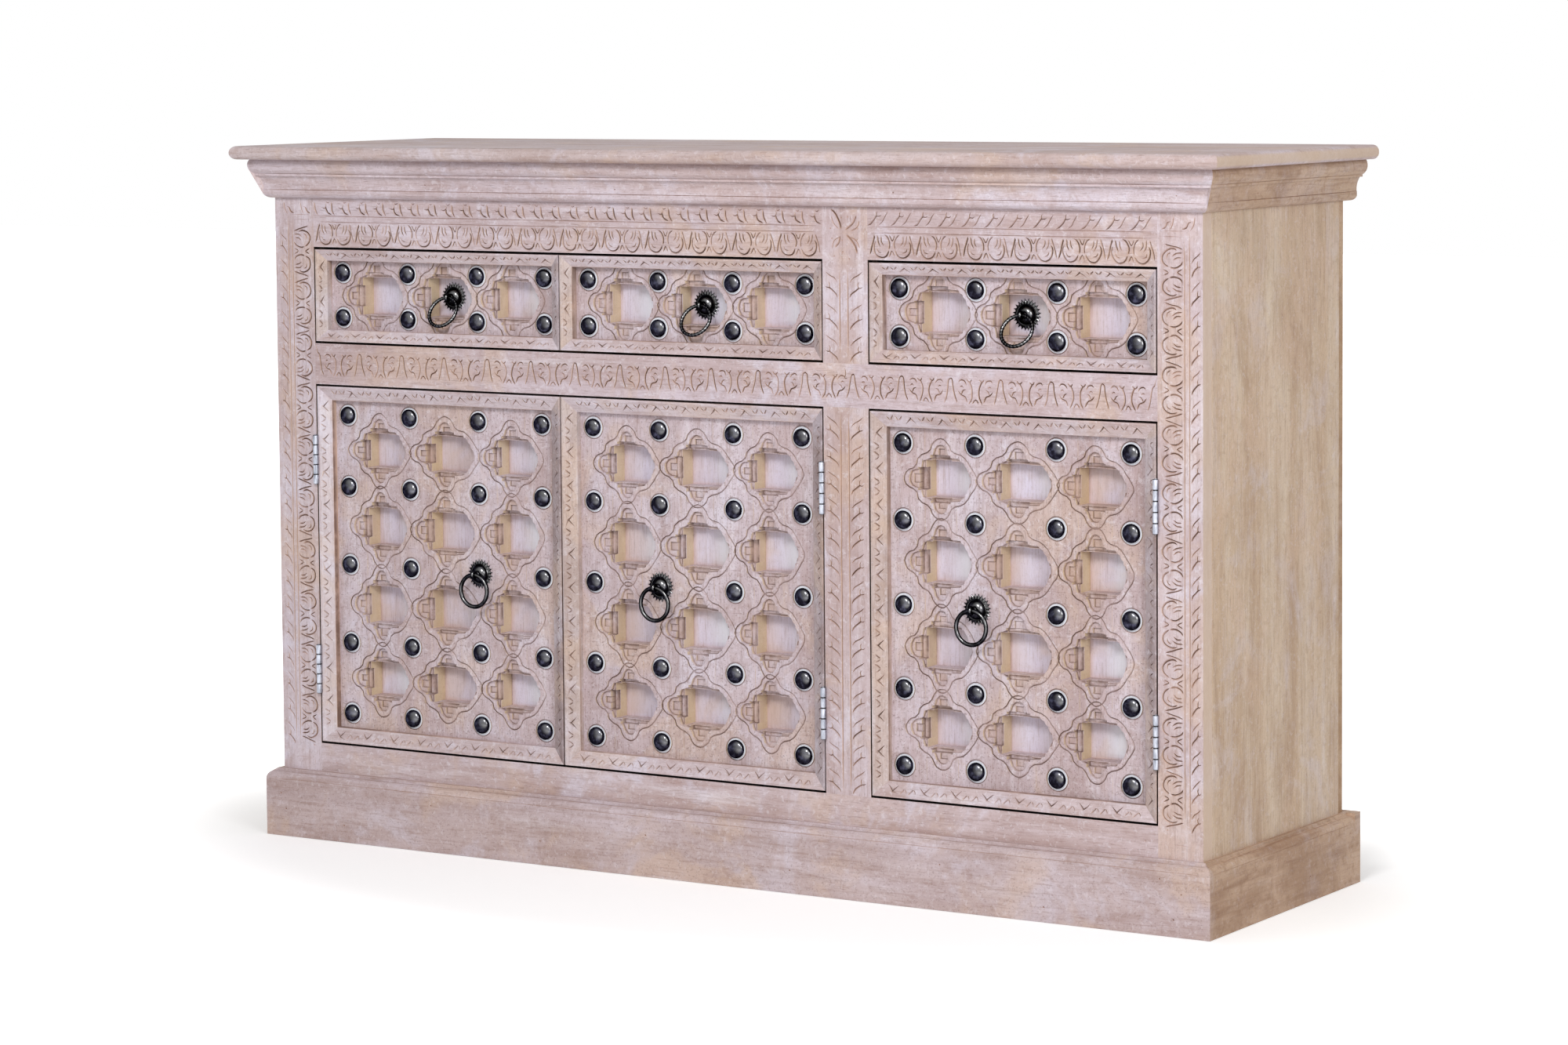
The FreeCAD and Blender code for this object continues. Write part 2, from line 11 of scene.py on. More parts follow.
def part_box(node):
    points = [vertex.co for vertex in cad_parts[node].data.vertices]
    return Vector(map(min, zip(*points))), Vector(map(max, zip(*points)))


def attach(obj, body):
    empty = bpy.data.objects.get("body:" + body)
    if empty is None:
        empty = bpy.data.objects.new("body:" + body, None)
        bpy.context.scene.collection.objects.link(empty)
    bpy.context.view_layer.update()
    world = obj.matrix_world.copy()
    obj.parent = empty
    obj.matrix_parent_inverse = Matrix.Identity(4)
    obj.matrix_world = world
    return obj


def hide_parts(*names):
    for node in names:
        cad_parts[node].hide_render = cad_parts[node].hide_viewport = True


# Looks of the carved sideboard. Sizes are millimetres, and every mesh is turned into metres as it is made.
# Depths are counted backwards from the front of the face frame, as in the part's own drawing.

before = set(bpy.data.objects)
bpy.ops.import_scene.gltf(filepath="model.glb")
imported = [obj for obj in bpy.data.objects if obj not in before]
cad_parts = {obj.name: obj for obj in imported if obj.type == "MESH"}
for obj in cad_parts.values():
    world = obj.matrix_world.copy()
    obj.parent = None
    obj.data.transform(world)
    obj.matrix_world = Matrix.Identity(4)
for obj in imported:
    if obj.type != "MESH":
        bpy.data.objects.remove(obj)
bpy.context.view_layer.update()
random.seed(11)

MM = 0.001
TURN = 2 * math.pi
MIDDLE_DEPTH = 173.5

# Sizes that repeat the part's
HALF_WIDTH = 670.0
LEFT_STILE, RIGHT_STILE = -608.0, 612.0
CENTER_WIDTH = 63.0
GAP = 2.0
FRONT_WIDTH = (RIGHT_STILE - LEFT_STILE - CENTER_WIDTH - 5 * GAP) / 3
CENTER_LEFT = LEFT_STILE + 2 * FRONT_WIDTH + 3 * GAP
CENTER_RIGHT = CENTER_LEFT + CENTER_WIDTH
STARTS = (LEFT_STILE + GAP, LEFT_STILE + FRONT_WIDTH + 2 * GAP, CENTER_RIGHT + GAP)
PLINTH_TOP = 87.0
DOOR_BASE, DOOR_TOP = 124.5, 591.5
DRAWER_BASE, DRAWER_TOP = 646.0, 768.5
CORNICE_BASE = 832.5
TOP_UNDERSIDE, TOTAL_HEIGHT = 882.5, 900.0
FRAME_FOOT, FRAME_THICKNESS = 60.0, 22.0
CARCASS_DEPTH, BACK_OUTER = 375.0, 391.0
LATTICE_FACE, LATTICE_THICKNESS = 16.0, 26.0
LATTICE_BACK = LATTICE_FACE + LATTICE_THICKNESS
CELL = FRONT_WIDTH * 0.285
DOOR_OUTER_CELL, DRAWER_OUTER_CELL = FRONT_WIDTH * 0.2576, FRONT_WIDTH * 0.272
DOOR_BORDER, DRAWER_BORDER, BORDER_LAP = 18.5, 14.5, 4.7
DOOR_MIDDLE, DRAWER_MIDDLE = (DOOR_BASE + DOOR_TOP) / 2, (DRAWER_BASE + DRAWER_TOP) / 2
STUD_ROW = (DOOR_TOP - DOOR_BASE) / 2 - GAP - DOOR_BORDER - 19.0
INNER_ROW = STUD_ROW * 0.5232
DRAWER_STUD_ROW = (DRAWER_TOP - DRAWER_BASE) * 0.2365
DRAWER_CELL_RISE = 50.0
HINGE_PLACES = (DOOR_BASE + GAP + 95.0, DOOR_TOP - GAP - 95.0)
HINGE_HEIGHT, HINGE_AXIS = 64.0, -3.6
EYE_REACH, EYE_RADIUS, EYE_ROD, EYE_WIDENED = 15.0, 4.4, 1.35, 1.5
RING_RADIUS, TWISTED_SIDES = 20.3, 8

# Where the rails' edges stop, so that the gaps round the fronts look as wide as in the photo
UNDER_DOORS, OVER_DOORS = DOOR_BASE - 0.8, DOOR_TOP + 0.8
UNDER_DRAWERS, OVER_DRAWERS = DRAWER_BASE - 0.9, DRAWER_TOP + 1.2


# ---- Materials

class Shader:
    """A short way to write the nodes of a material or of the world."""

    def __init__(self, owner):
        owner.use_nodes = True
        self.owner = owner
        self.tree = owner.node_tree
        self.surface = self.tree.nodes.get("Principled BSDF")

    def feed(self, made, inputs):
        """Sets inputs of a node: an output is linked, and anything else is a value."""
        for key, value in inputs.items():
            socket = made.inputs[key]
            if isinstance(value, bpy.types.NodeSocket):
                self.tree.links.new(value, socket)
            else:
                socket.default_value = (*value, 1.0) if socket.type == "RGBA" else value

    def node(self, kind, inputs=None, **settings):
        made = self.tree.nodes.new(kind)
        for key, value in settings.items():
            setattr(made, key, value)
        self.feed(made, inputs or {})
        return made

    def place(self, kind="Object"):
        return self.node("ShaderNodeTexCoord").outputs[kind]

    def mapped(self, scale, offset=(0, 0, 0)):
        """Object coordinates, scaled and moved."""
        inputs = {"Scale": scale, "Location": offset, "Vector": self.place()}
        return self.node("ShaderNodeMapping", inputs).outputs["Vector"]

    def noise(self, scale, detail=4, roughness=0.55, offset=(0, 0, 0), distortion=0.0):
        inputs = {"Scale": 1, "Detail": detail, "Roughness": roughness, "Distortion": distortion,
                  "Vector": self.mapped(scale, offset)}
        return self.node("ShaderNodeTexNoise", inputs).outputs["Fac"]

    def ramp(self, value, low, high, out_low=0.0, out_high=1.0):
        inputs = {"Value": value, "From Min": low, "From Max": high, "To Min": out_low, "To Max": out_high}
        return self.node("ShaderNodeMapRange", inputs, interpolation_type="SMOOTHSTEP").outputs["Result"]

    def math(self, operation, first, second=0.0):
        return self.node("ShaderNodeMath", {0: first, 1: second}, operation=operation).outputs["Value"]

    def mix(self, factor, first, second):
        return self.node("ShaderNodeMix", {0: factor, 6: first, 7: second}, data_type="RGBA").outputs[2]

    def over(self, colour, tint, cover, share):
        """The tint laid over a colour, as far as the cover and the share let it."""
        return self.mix(self.math("MULTIPLY", cover, share), colour, tint)

    def attribute(self, name):
        return self.node("ShaderNodeAttribute", attribute_name=name).outputs["Fac"]

    def bump(self, height, strength, distance, **below):
        inputs = {"Strength": strength, "Distance": distance, "Height": height, **below}
        return self.node("ShaderNodeBump", inputs).outputs["Normal"]


def srgb(red, green, blue):
    """A colour given in the 0 to 255 steps of a picture, as linear light."""
    values = [c / 255 for c in (red, green, blue)]
    return tuple(v / 12.92 if v <= 0.04045 else ((v + 0.055) / 1.055) ** 2.4 for v in values)


GRAIN_STRETCH = 13.0
WHITEWASH, CHALK, LIME_FLECK = srgb(214, 208, 222), srgb(226, 218, 224), srgb(224, 217, 224)
WARM_PATCH, WARM_CUT, GROOVE_EDGE = srgb(204, 176, 154), srgb(197, 170, 153), srgb(200, 160, 134)
FIBRE, PORE, SPECK = srgb(146, 118, 106), srgb(112, 86, 76), srgb(120, 96, 88)
STAIN, SHADOW_GAP, WHITE_PAINT = srgb(90, 64, 52), srgb(26, 18, 15), srgb(238, 240, 248)


def wood(name, grain, shades, side_light_tint, wash=1.0, seed=0.0, contrast=1.0, streaks=0.55, patches=0.0,
         speckles=0.2, halo=0.5):
    """Limed wood: a pale wash over brown wood that shows in the pores, the streaks and the grooves.

    The mesh says where: the stain attribute is the stain, up to 1, and a painted shadow, black, above it; pale is white
    paint, or warm below 0, and on the backings it also carries painted light. Faces turned to the sides can take a
    painted warm side light."""
    s = Shader(bpy.data.materials.new(name))
    light, mid, dark = (srgb(*shade) for shade in shades)
    stretch = [1.0 if axis == grain else GRAIN_STRETCH for axis in "XYZ"]

    def grained(scale, *settings):
        return s.noise([scale * c for c in stretch], *settings)

    def even(scale, *settings):
        return s.noise([scale] * 3, *settings)

    offset = (seed, seed * 0.7, seed * 1.3)
    cloud = even(6, 5, 0.62, offset, 0.4)
    streak = grained(5.5, 5, 0.62, offset, 0.25)
    fine = grained(30, 3, 0.6, offset)
    pores = grained(75, 2, 0.5, offset)
    patch_size = [2.4 if axis == grain else 11.0 for axis in "XYZ"]
    # Each layer: a noise, where its ramp starts and ends, how much it covers, and its colour
    layers = (
        (grained(0.5, 4, 0.7, (seed + 5, seed, seed * 2), 1.2), 0.46, 0.66, 0.4 * contrast, dark),
        (cloud, 0.42, 0.7, 0.34 * contrast, dark),
        (streak, 0.48, 0.72, streaks * contrast, dark),
        (s.noise(patch_size, 5, 0.62, (seed + 2, seed + 6, seed), 1.0), 0.48, 0.64, patches, dark),
        (even(9, 5, 0.7, (seed + 3, 1, seed), 0.8), 0.5, 0.66, 0.5 * wash, WHITEWASH),
        (even(7, 4, 0.62, (seed + 7, 2, seed + 5), 0.7), 0.5, 0.64, 0.42, WARM_PATCH),
        (grained(3.2, 5, 0.65, (seed + 9, 4, seed)), 0.54, 0.72, 0.45 * wash, CHALK),
        (fine, 0.5, 0.72, 0.34, FIBRE),
        (pores, 0.58, 0.7, 0.34 * wash, PORE),
        (even(420, 2, 0.6, offset), 0.56, 0.7, speckles * contrast, SPECK),
        (even(85, 5, 0.68, (seed, 3, seed + 1), 0.5), 0.5, 0.66, 0.3 * contrast, dark),
        (even(150, 4, 0.7, (seed + 4, seed, 2), 0.6), 0.54, 0.66, 0.38 * wash, LIME_FLECK),
    )
    colour = s.mix(s.ramp(grained(1.1, 3, 0.6, offset, 0.6), 0.36, 0.64), mid, light)
    for pattern, low, high, share, tint in layers:
        if share:
            colour = s.over(colour, tint, s.ramp(pattern, low, high), share)
    groove, pale = s.attribute("groove"), s.attribute("pale")
    # Painted warm side light: faces turned to the sides take the warm tint, less where the wood is stained.
    if side_light_tint:
        parts = s.node("ShaderNodeSeparateXYZ", {"Vector": s.place("Normal")})
        sideways_lit = s.ramp(s.math("ABSOLUTE", parts.outputs["X"]), 0.6, 0.95)
        uncut = s.ramp(groove, 0.1, 0.6, 1.0, 0.3)
        colour = s.over(colour, s.mix(0.7, colour, side_light_tint), sideways_lit, uncut)
    colour = s.over(colour, WARM_CUT, s.ramp(pale, -1.0, 0.0, 0.75, 0.0), s.ramp(cloud, 0.35, 0.65, 0.5, 1.0))
    colour = s.mix(s.ramp(groove, 0.0, 0.4, 0.0, halo), colour, GROOVE_EDGE)
    breakup = s.ramp(even(45, 3, 0.6, offset), 0.34, 0.6, 0.4, 1.0)
    colour = s.over(colour, STAIN, s.math("MULTIPLY", s.ramp(groove, 0.08, 0.9), breakup), 0.88)
    # Painted shadow: black where the stain attribute passes 1, on the edges of boards in the gaps round the fronts.
    colour = s.mix(s.ramp(groove, 1.1, 1.6), colour, SHADOW_GAP)
    colour = s.over(colour, WHITE_PAINT, s.ramp(pale, 0.0, 1.0), 0.95)
    s.feed(s.surface, {
        "Base Color": colour,
        "Roughness": s.ramp(fine, 0.3, 0.8, 0.6, 0.78),
        "Specular IOR Level": 0.3,
        "Normal": s.bump(pores, 0.15, 0.0006, Normal=s.bump(streak, 0.3, 0.0012)),
    })
    return s.owner


# Light, middle and dark shades of each wood
FRONT = ((208, 195, 203), (198, 179, 180), (166, 139, 133))
RAIL = ((206, 192, 201), (195, 176, 179), (160, 133, 128))
PLINTH = ((202, 187, 193), (190, 171, 170), (154, 127, 118))
LATTICE = ((206, 192, 200), (196, 177, 180), (160, 134, 130))
SIDE = ((211, 192, 171), (200, 175, 150), (164, 135, 110))
SHADED = ((180, 167, 172), (166, 149, 151), (128, 106, 103))
CREAM = ((202, 189, 186), (191, 173, 168), (158, 136, 128))
TOP = ((206, 192, 194), (196, 176, 174), (164, 138, 128))
RETURN = ((193, 167, 145), (182, 153, 130), (140, 107, 82))
BACKING = ((221, 215, 233), (212, 201, 215), (190, 172, 174))
INNER = ((186, 158, 128), (170, 138, 106), (140, 108, 80))
# Warm tints for faces turned to the sides: a painted warm light from the side.
SIDE_LIGHT_TAN, SIDE_LIGHT_DULL = srgb(216, 194, 152), srgb(204, 180, 156)

front_up = wood("limed_upright", "Z", FRONT, SIDE_LIGHT_DULL, seed=1.7)
front_across = wood("limed_across", "X", FRONT, SIDE_LIGHT_DULL, seed=4.1, halo=0.35)
rail_wood = wood("limed_rail", "X", RAIL, SIDE_LIGHT_DULL, seed=2.4)
plinth_wood = wood("limed_plinth", "X", PLINTH, SIDE_LIGHT_DULL, wash=0.7, seed=9.6, patches=0.3, speckles=0.35)
lattice_wood = wood("limed_lattice", "Z", LATTICE, SIDE_LIGHT_TAN, seed=8.3, contrast=1.2, streaks=0.3, speckles=0.45,
                    halo=0.15)
# The end boards' wood is warmer than the front: partly less whitewash, partly painted warm light from the side.
side_wood = wood("limed_side", "Z", SIDE, None, wash=0.5, seed=2.9, streaks=0.35, patches=0.5)
# A darker copy of the front wood for the borders' right members: painted shade, as their slopes face away from the
# light.
shaded_wood = wood("limed_shaded", "Z", SHADED, None, wash=0.7, seed=5.5, contrast=1.3, speckles=0.35, halo=0.2)
# A warmer copy of the front wood for the borders' left members: painted warm light, as their slopes face the light.
cream_wood = wood("limed_cream", "Z", CREAM, None, wash=0.8, seed=6.1, contrast=1.2, speckles=0.3, halo=0.3)
top_wood = wood("limed_top", "X", TOP, SIDE_LIGHT_DULL, wash=0.8, seed=6.6)
# The returns' wood is warmer than the front: partly less whitewash, partly painted warm light from the side.
return_wood = wood("limed_return", "Y", RETURN, None, wash=0.3, seed=5.2, contrast=1.3, patches=0.3)
backing_wood = wood("pale_backing", "Z", BACKING, None, wash=0.6, seed=7.7, contrast=0.8)
inner_wood = wood("inner_wood", "X", INNER, None, wash=0.2, seed=3.3)


# The way a face turns towards the key light, where the iron's painted highlight sits.
PAINTED_HIGHLIGHT_WAY = (0.42, -0.87, 0.26)


def iron(name, dark, light, painted_highlight_from):
    """Blackened iron with a lightly hammered face, and a painted highlight: the glossy coat is laid on only where the
    face turns towards the key light.
    """
    s = Shader(bpy.data.materials.new(name))
    facing_highlight = s.node("ShaderNodeVectorMath", {0: s.place("Normal"), 1: PAINTED_HIGHLIGHT_WAY}, operation="DOT_PRODUCT")
    worn = s.ramp(s.noise((160, 160, 160), 4, 0.6), 0.42, 0.74)
    s.feed(s.surface, {
        "Base Color": s.mix(worn, srgb(*dark), srgb(*light)),
        "Metallic": 1.0,
        "Roughness": s.ramp(s.noise((90, 90, 90), 3), 0.3, 0.7, 0.3, 0.44),
        "Specular Tint": (0.3, 0.31, 0.38),
        # Painted highlight: the coat grows only where the face turns towards the key light.
        "Coat Weight": s.ramp(facing_highlight.outputs["Value"], painted_highlight_from, 0.998, 0.0, 0.9),
        "Coat Roughness": 0.2,
        "Coat IOR": 2.3,
        "Normal": s.bump(s.noise((330, 330, 330), 2, 0.5), 0.2, 0.0004),
    })
    return s.owner


def zinc_plate():
    """Zinc plate with soft streaks, and painted shade, near black, where the knuckles meet."""
    s = Shader(bpy.data.materials.new("zinc_plate"))
    streaks = s.noise((300, 300, 60), 4, 0.6)
    colour = s.mix(s.ramp(streaks, 0.3, 0.7), srgb(138, 142, 154), srgb(200, 203, 214))
    s.feed(s.surface, {
        "Base Color": s.mix(s.attribute("groove"), colour, srgb(34, 28, 27)),
        "Metallic": 1.0,
        "Roughness": s.ramp(streaks, 0.3, 0.7, 0.3, 0.5),
        "Normal": s.bump(s.noise((500, 500, 500), 2), 0.15, 0.0003),
    })
    return s.owner


dome_iron = iron("blackened_iron", (24, 22, 31), (68, 68, 86), 0.85)
pull_iron = iron("blackened_iron_pulls", (13, 12, 14), (44, 43, 52), 0.84)
zinc = zinc_plate()


# ---- Mesh helpers

class Build:
    """Collects the parts of one mesh, with the stain, the painted shade and the wash of each point."""

    def __init__(self):
        self.vertices, self.faces, self.materials, self.groove, self.pale = [], [], [], [], []

    def add(self, vertices, faces, material=0, groove=None, pale=None):
        base, count = len(self.vertices), len(vertices)
        self.vertices += [tuple(v) for v in vertices]
        self.faces += [[base + i for i in f] for f in faces]
        self.materials += [material] * len(faces)
        self.groove += [0.0] * count if groove is None else list(groove)
        self.pale += [0.0] * count if pale is None else list(pale)

    def finish(self, replaced, ending, materials, body="carcass", slot="limed_wood", smooth=12):
        """Makes the object that stands for a node and rides on its body."""
        name = f"{replaced}_{ending}"
        mesh = bpy.data.meshes.new(name)
        mesh.from_pydata([(x * MM, (y - MIDDLE_DEPTH) * MM, z * MM) for x, y, z in self.vertices], [], self.faces)
        for material in materials:
            mesh.materials.append(material)
        mesh.polygons.foreach_set("material_index", self.materials)
        for key, values in (("groove", self.groove), ("pale", self.pale)):
            mesh.attributes.new(key, "FLOAT", "POINT").data.foreach_set("value", np.asarray(values, np.float32))
        shell = bmesh.new()
        shell.from_mesh(mesh)
        bmesh.ops.remove_doubles(shell, verts=shell.verts, dist=2e-6)
        bmesh.ops.recalc_face_normals(shell, faces=shell.faces)
        shell.to_mesh(mesh)
        shell.free()
        mesh.polygons.foreach_set("use_smooth", [True] * len(mesh.polygons))
        mesh.set_sharp_from_angle(angle=math.radians(smooth))
        mesh.update()
        made = bpy.data.objects.new(name, mesh)
        bpy.context.scene.collection.objects.link(made)
        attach(made, body)
        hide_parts(replaced)


class Stroke:
    """One gouge cut: a line with a steep side and a sloping side, which runs out at its ends."""

    def __init__(self, points, depth, left=0.7, right=0.7, ends=(0.25, 0.25), steps=0):
        self.points = smooth_line(points, steps) if steps else np.array(points, float)
        lengths = np.r_[0, np.cumsum(np.linalg.norm(np.diff(self.points, axis=0), axis=1))]
        t = lengths / lengths[-1]
        taper = np.ones(len(t))
        for share, run in zip(ends, (t, 1 - t)):
            if share > 0:
                taper = np.minimum(taper, run / share)
        self.taper = np.clip(taper, 0.0, 1.0) ** 0.6
        self.depth, self.left, self.right = depth, left, right

    def sides(self):
        """The two edge lines of the cut."""
        tangent = np.gradient(self.points, axis=0)
        tangent /= np.linalg.norm(tangent, axis=1)[:, None] + 1e-9
        normal = np.c_[-tangent[:, 1], tangent[:, 0]]
        shape = self.taper[:, None]
        return self.points + normal * self.left * shape, self.points - normal * self.right * shape

    def carve(self, places, depth):
        """Deepens depth, an array, where the places lie in the cut."""
        reach = max(self.left, self.right)
        near = within(places, self.points.min(0) - reach, self.points.max(0) + reach)
        if len(near) == 0:
            return
        p = places[near][:, None, :]
        a, b = self.points[:-1][None], self.points[1:][None]
        run = b - a
        t = np.clip(((p - a) * run).sum(2) / ((run ** 2).sum(2) + 1e-12), 0, 1)
        away = p - (a + run * t[..., None])
        distance = np.linalg.norm(away, axis=2)
        best = distance.argmin(1)
        rows = np.arange(len(near))
        t, distance = t[rows, best], distance[rows, best]
        side = run[0, best, 0] * away[rows, best, 1] - run[0, best, 1] * away[rows, best, 0]
        taper = self.taper[best] * (1 - t) + self.taper[best + 1] * t
        width = np.where(side > 0, self.left, self.right) * np.maximum(taper, 1e-3)
        cut = self.depth * taper * np.clip(1 - distance / width, 0, 1)
        depth[near] = np.maximum(depth[near], cut)


class Relief:
    """A flat face with carving, cut into triangles along every line of the carving."""

    def __init__(self, outline):
        self.points, self.edges, self.strokes = [], [], []
        box = np.array(outline, float)
        self.low, self.high = box.min(0), box.max(0)
        self.line(outline, closed=True)

    def line(self, points, closed=False):
        base, count = len(self.points), len(points)
        self.points += [tuple(p) for p in np.clip(points, self.low, self.high)]
        self.edges += [(base + i, base + (i + 1) % count) for i in range(count if closed else count - 1)]

    def stroke(self, *args, **settings):
        made = Stroke(*args, **settings)
        self.strokes.append(made)
        for line in (made.points, *made.sides()):
            self.line(line)

    def mesh(self):
        """Places and triangles of the face, and how deep each place is carved."""
        places, triangles = triangulate(self.points, self.edges)
        depth = np.zeros(len(places))
        for stroke in self.strokes:
            stroke.carve(places, depth)
        return places, triangles, depth


def smooth_line(points, steps):
    """A Catmull-Rom line through the points."""
    p = np.array(points, float)
    if len(p) == 2:
        return p
    padded = np.vstack([2 * p[0] - p[1], p, 2 * p[-1] - p[-2]])
    out = []
    for i in range(len(p) - 1):
        a, b, c, d = padded[i:i + 4]
        for k in range(steps):
            t = k / steps
            curve = (2 * a - 5 * b + 4 * c - d) * t ** 2 + (3 * b - a - 3 * c + d) * t ** 3
            out.append(0.5 * (2 * b + (c - a) * t + curve))
    return np.array(out + [p[-1]])


def triangulate(points, edges):
    """Places and triangles between lines."""
    made = delaunay_2d_cdt([Vector(p) for p in points], edges, [], 0, 1e-3)
    return np.array([(v.x, v.y) for v in made[0]]), [tuple(f) for f in made[2]]


def within(places, low, high):
    """The numbers of the places that lie in a box."""
    return np.nonzero(((places >= low) & (places <= high)).all(1))[0]


def inside(places, polygon):
    """Which places lie in the polygon."""
    result = np.zeros(len(places), bool)
    x, y = places[:, 0], places[:, 1]
    for (ax, ay), (bx, by) in zip(polygon, np.roll(polygon, -1, axis=0)):
        crosses = (ay > y) != (by > y)
        with np.errstate(divide="ignore", invalid="ignore"):
            at = (bx - ax) * (y - ay) / (by - ay) + ax
        result ^= crosses & (x < at)
    return result


def shrunk(polygon, amount):
    """The polygon drawn in by an amount, by moving each corner along its bisector."""
    p = np.array(polygon, float)
    before, after = p - np.roll(p, 1, axis=0), np.roll(p, -1, axis=0) - p
    for line in (before, after):
        line /= np.linalg.norm(line, axis=1)[:, None] + 1e-9
    area = 0.5 * np.sum(p[:, 0] * np.roll(p[:, 1], -1) - np.roll(p[:, 0], -1) * p[:, 1])
    sign = 1.0 if area > 0 else -1.0
    normal = sign * np.c_[-(before[:, 1] + after[:, 1]), before[:, 0] + after[:, 0]]
    normal /= np.linalg.norm(normal, axis=1)[:, None] + 1e-9
    cosine = np.clip((normal * (sign * np.c_[-before[:, 1], before[:, 0]])).sum(1), 0.5, 1)[:, None]
    return p + normal * amount / cosine


def circle(u, v, radius, count):
    angles = [TURN * i / count for i in range(count)]
    return [(u + radius * math.cos(a), v + radius * math.sin(a)) for a in angles]


def arc(start, through, end, count):
    """Points on the arc through three points."""
    (ax, ay), (bx, by), (cx, cy) = start, through, end
    d = 2 * (ax * (by - cy) + bx * (cy - ay) + cx * (ay - by))
    a2, b2, c2 = ax ** 2 + ay ** 2, bx ** 2 + by ** 2, cx ** 2 + cy ** 2
    ux = (a2 * (by - cy) + b2 * (cy - ay) + c2 * (ay - by)) / d
    uy = (a2 * (cx - bx) + b2 * (ax - cx) + c2 * (bx - ax)) / d
    radius = math.hypot(ax - ux, ay - uy)
    first, middle, last = (math.atan2(y - uy, x - ux) for x, y in (start, through, end))
    turn = (last - first) % TURN
    if (middle - first) % TURN > turn:
        turn -= TURN
    angles = [first + turn * i / count for i in range(count + 1)]
    return [(ux + radius * math.cos(a), uy + radius * math.sin(a)) for a in angles]


def rectangle(u0, u1, v0, v1):
    return [(u0, v0), (u1, v0), (u1, v1), (u0, v1)]


def boundary_loops(faces):
    """Loops of the edges that have one face only, in the direction of their faces."""
    seen = dict.fromkeys((a, b) for face in faces for a, b in zip(face, face[1:] + face[:1]))
    following = {a: b for a, b in seen if (b, a) not in seen}
    loops = []
    while following:
        start = next(iter(following))
        loop = [start]
        at = following.pop(start)
        while at != start:
            loop.append(at)
            at = following.pop(at)
        loops.append(loop)
    return loops


def walls(count, rings, closed=False):
    """Faces between rings of count points each. Closed joins the last ring to the first."""
    faces = []
    for k in range(rings if closed else rings - 1):
        here, there = k * count, (k + 1) % rings * count
        for i in range(count):
            j = (i + 1) % count
            faces.append((here + i, here + j, there + j, there + i))
    return faces


def lathe(build, steps, centre, sides, axis="Y", turn=0.0, closed=False):
    """A turned piece: steps of radius and place along the axis."""
    vertices = []
    for radius, height in steps:
        for a, b in ((radius * math.cos(t), radius * math.sin(t))
                     for t in (TURN * i / sides + turn for i in range(sides))):
            x, y, z = (a, height, b) if axis == "Y" else (a, b, height)
            vertices.append((centre[0] + x, centre[1] + y, centre[2] + z))
    faces = walls(sides, len(steps), closed)
    if not closed:
        faces += [tuple(range(sides)), tuple(range(len(vertices) - sides, len(vertices)))]
    build.add(vertices, faces)


def bent_rod(build, middle, out, across, thick, radius, around, sides, rod):
    """A rod bent into a ring in the plane of out and across, while thick stands on it.

    rod(a, k) is the rod's own radius at an angle round the ring and a side of the rod."""
    vertices = []
    for a in (TURN * i / around for i in range(around)):
        outward = across * math.sin(a) + out * math.cos(a)
        for k in range(sides):
            b = TURN * k / sides
            reach = rod(a, k)
            vertices.append(middle + outward * (radius + reach * math.cos(b)) + thick * (reach * math.sin(b)))
    build.add(vertices, walls(sides, around, True))


def box_part(build, x_range, y_range, z_range, material=0):
    vertices = [(x, y, z) for x in x_range for y in y_range for z in z_range]
    faces = [(0, 1, 3, 2), (4, 6, 7, 5), (0, 4, 5, 1), (2, 3, 7, 6), (0, 2, 6, 4), (1, 5, 7, 3)]
    build.add(vertices, faces, material)


def front_place(u, v, d):
    return (u, d, v)


def carved_board(build, relief, place=front_place, back=FRAME_THICKNESS, dark=1.8):
    """A closed board with a carved face. place(u, v, d) gives a point at a depth below the face. Where it faces a gap,
    its edge is painted black as shadow to 7 mm deep, by the dark given.
    """
    places, triangles, depth = relief.mesh()
    vertices = [place(u, v, d) for (u, v), d in zip(places, depth)]
    build.add(vertices, triangles, 0, np.clip(depth / 2.1, 0, 1.0))
    loop = max(boundary_loops(triangles), key=len)
    count = len(loop)
    # Painted shadow on the edge: black to 7 mm deep where it faces a gap, then a light stain to the back.
    edge_stain_and_shadow = {1.3: dark, 7.0: dark, back: dark * 0.15}
    rings = [vertices[i] for i in loop]
    stain = [0.0] * count
    for depth, shade in edge_stain_and_shadow.items():
        ring = [place(*places[i], depth) for i in loop]
        rings += ring
        stain += [shade if abs(x) < HALF_WIDTH - 1 else 0.0 for x, _, _ in ring]
    build.add(rings, walls(count, 4), 0, stain)
    build.add(rings[-count:], [tuple(range(count))], 0, stain[-count:])


def node_box(name):
    """The two corners of a node's box, in millimetres and in depths from the front."""
    low, high = (np.array(corner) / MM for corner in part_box(name))
    low[1] += MIDDLE_DEPTH
    high[1] += MIDDLE_DEPTH
    return low, high


def carved_piece(name, reliefs, material, ending="carved"):
    build = Build()
    for relief in reliefs:
        carved_board(build, relief)
    build.finish(name, ending, [material])


# ---- Carved motifs. A stroke is its points, its depth, the widths of its left and right sides, and the shares of
# its length over which it runs out. A point is a distance along the band and a share of the band's height.

def band(relief, place, length, height, pitch, motif):
    """Repeats a motif along a band. place(s, t) turns a place in the band into one on the board."""
    count = max(1, round(length / pitch))
    real = length / count
    turned_over = turns_over(place)
    for i in range(count):
        for points, depth, left, right, ends in motif(real):
            shaken = [(i * real + s + random.uniform(-0.5, 0.5), t * height + random.uniform(-0.35, 0.35))
                      for s, t in points]
            if turned_over:
                left, right = right, left
            relief.stroke([place(s, t) for s, t in shaken], depth * random.uniform(1.0, 1.45), left, right,
                          ends=ends, steps=3)


